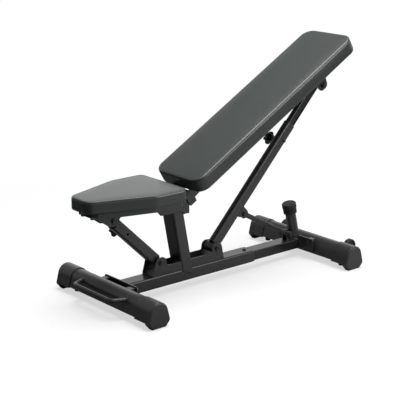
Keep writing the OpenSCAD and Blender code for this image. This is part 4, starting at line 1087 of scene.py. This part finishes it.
# %% Welds of the rear base
beads = []
for side in (-1, 1):
    beads += straight_bead((926.0, side * 29.2, 41), (926.0, side * 29.2, 71), (-1, side, 0))
rest_low, rest_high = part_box("rest_post")
foot_x = rest_high.x - 0.0221
ellipse = []
for t in range(17):
    angle = radians(100 + t * 10)
    ellipse.append(Vector((foot_x + 0.0223 * cos(angle), 0.0217 * sin(angle), rest_low.z + 0.0004)))
beads += bead_along(ellipse, [Vector((p.x - foot_x, p.y, 0.02)).normalized() for p in ellipse[:-1]])
rear_welds = set_out("rear_welds", ripple_model(), beads)
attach(rear_welds, "rear_base")
print("rear ripples", len(beads))

# %% [markdown]
# ## Plugs in the rails
# The open ends of the two rails under the back are closed with plastic plugs: a rounded plate with a raised
# face, on a core that goes into the rail.

# %% Plugs
def plug_model():
    plate = cuboid("plug", (0.0022, 0.0242, 0.0342))
    pick(plate, "EDGE", lambda m, w: abs(w.x) > 0.9)
    bpy.ops.mesh.bevel(offset=0.0035, segments=4, affect="EDGES")
    pick(plate, "FACE", lambda m, n: n.x > 0.98)
    bpy.ops.mesh.inset(thickness=0.0030)
    bpy.ops.transform.translate(value=(0.0006, 0, 0))
    leave_edit()
    apply_modifier(plate, "BEVEL", width=0.0005, segments=2, limit_method="ANGLE")
    core = cuboid("core", (0.009, 0.0196, 0.0296), (-0.005, 0, 0))
    apply_modifier(core, "BEVEL", width=0.0015, segments=2, limit_method="ANGLE")
    plug = joined("plug", [plate, core])
    dress(plug, cap_plastic)
    return smooth_by_angle(plug, 40)


rail_y, rail_z, rail_from, rail_to = 0.0593, -0.0175, 0.060, 0.809
ends = []
for side in (-1, 1):
    ends.append(back_frame @ Matrix.Translation((rail_to + 0.0011, side * rail_y, rail_z)))
    ends.append(back_frame @ Matrix.Translation((rail_from - 0.0011, side * rail_y, rail_z))
                @ Matrix.Rotation(pi, 4, "Z"))
rail_plugs = set_out("rail_plugs", plug_model(), ends)
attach(rail_plugs, "back")
print("plugs", len(ends))

# %% [markdown]
# ## Stage and light
# The bench stands on a pale floor. For the camera, the floor glows almost white and only
# its shadow share stays, so the shadow is soft and light, as in a studio with a large white
# sweep; further out the floor is plain white. All other rays, mirrored ones too, meet a grey
# floor whose colour is painted lighter towards the lamp side and darker towards the back left,
# a painted pool of light. The sweep is bright up to some 25 degrees above the horizon, and the
# room over it and to the left is dim, so a face shows what it is turned to: tops catch the sweep
# at a low angle, and steep faces stay dark. One wide soft box hangs over the bench, and a weaker
# one stands on the side that shows.

# %% The floor
clear_selection()
bpy.ops.mesh.primitive_plane_add(size=60, location=(0, 0, 0))
floor = named("studio_floor")
floor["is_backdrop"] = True
sweep = bpy.data.materials.new("studio_sweep")
sweep.use_nodes = True
tree = sweep.node_tree
tree.nodes.remove(tree.nodes["Principled BSDF"])
lit, seen, glow, white = (tree.nodes.new("ShaderNode" + kind) for kind in
                          ("BsdfDiffuse", "BsdfDiffuse", "Emission", "Emission"))
seen.inputs["Color"].default_value = (0.34, 0.34, 0.34, 1)
glow.inputs["Strength"].default_value = 0.62
white.inputs["Strength"].default_value = 1.0
near = tree.nodes.new("ShaderNodeAddShader")
tree.links.new(seen.outputs[0], near.inputs[0])
tree.links.new(glow.outputs[0], near.inputs[1])
floor_place = tree.nodes.new("ShaderNodeTexCoord").outputs["Object"]
distance = tree.nodes.new("ShaderNodeVectorMath")
distance.operation = "LENGTH"
tree.links.new(floor_place, distance.inputs[0])
across = tree.nodes.new("ShaderNodeSeparateXYZ")
tree.links.new(floor_place, across.inputs[0])
# Painted light: for every ray but the camera's, the floor's grey is lighter towards the lamp side and
# darker towards the back left.
lamp_side = maths(tree, "SUBTRACT", across.outputs["X"], across.outputs["Y"])
tree.links.new(spread(tree, lamp_side, 0.12, 0.40, -0.5, 0.30), lit.inputs["Color"])
far = tree.nodes.new("ShaderNodeMapRange")
far.interpolation_type = "SMOOTHSTEP"
far.inputs["From Min"].default_value, far.inputs["From Max"].default_value = 0.9, 1.9
tree.links.new(distance.outputs["Value"], far.inputs["Value"])
shown = tree.nodes.new("ShaderNodeMixShader")
tree.links.new(far.outputs["Result"], shown.inputs[0])
tree.links.new(near.outputs[0], shown.inputs[1])
tree.links.new(white.outputs[0], shown.inputs[2])
final = tree.nodes.new("ShaderNodeMixShader")
tree.links.new(tree.nodes.new("ShaderNodeLightPath").outputs["Is Camera Ray"], final.inputs[0])
tree.links.new(lit.outputs[0], final.inputs[1])
tree.links.new(shown.outputs[0], final.inputs[2])
tree.links.new(final.outputs[0], tree.nodes["Material Output"].inputs["Surface"])
floor.data.materials.append(sweep)
print("floor", tuple(round(v, 1) for v in floor.dimensions))

# %% The room and the lamps
room = bpy.data.worlds.new("studio_room")
bpy.context.scene.world = room
room.use_nodes = True
tree = room.node_tree
background = tree.nodes["Background"]
path = tree.nodes.new("ShaderNodeLightPath")
rise = tree.nodes.new("ShaderNodeSeparateXYZ")
tree.links.new(tree.nodes.new("ShaderNodeTexCoord").outputs["Generated"], rise.inputs[0])
sweep_light = maths(tree, "MULTIPLY", spread(tree, rise.outputs["Z"], 1.0, 0.22, 0.42, 0.64),
                    spread(tree, rise.outputs["X"], 0.35, 1.0, -0.6, 0.1))
mirrored = maths(tree, "MULTIPLY", path.outputs["Is Glossy Ray"], sweep_light)
shows = maths(tree, "MAXIMUM", path.outputs["Is Camera Ray"],
              maths(tree, "MAXIMUM", mirrored, path.outputs["Is Transmission Ray"]))
tree.links.new(maths(tree, "MAXIMUM", shows, maths(tree, "MULTIPLY", sweep_light, 0.30)),
               background.inputs["Strength"])
background.inputs["Color"].default_value = (1, 1, 1, 1)


def soft_box(name, place, aim, size, power):
    clear_selection()
    bpy.ops.object.light_add(type="AREA", location=place)
    lamp = bpy.context.object
    lamp.name = name
    lamp.rotation_euler = (Vector(aim) - Vector(place)).to_track_quat("-Z", "Y").to_euler()
    lamp.data.shape, lamp.data.size, lamp.data.energy = "SQUARE", size, power
    return lamp


soft_box("overhead_box", (0.20, -0.05, 3.0), (0.05, 0.0, 0.3), 2.5, 140)
soft_box("side_box", (1.5, -2.5, 1.5), (0.1, 0.0, 0.3), 1.6, 36)

# %% [markdown]
# ## The camera
# A long lens far away keeps the parallel lines of the bench nearly parallel, as in a catalogue.

# %% The camera
aim = bench(421.0, 0, 324.2)
turn, lift, away = radians(-39.91), radians(15.86), 4.6523
toward = Vector((sin(turn) * cos(lift), -cos(turn) * cos(lift), sin(lift)))
clear_selection()
bpy.ops.object.camera_add(location=aim + toward * away)
camera = bpy.context.object
camera.name = "catalogue_camera"
camera.rotation_euler = (-toward).to_track_quat("-Z", "Y").to_euler()
camera.data.lens, camera.data.sensor_width = 111.0, 36.0
camera.data.clip_end = 100
scene = bpy.context.scene
scene.camera = camera
scene.view_settings.view_transform = "Standard"
print("camera", [round(v, 3) for v in camera.location])

# %% Sizes, and the end
low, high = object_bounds()
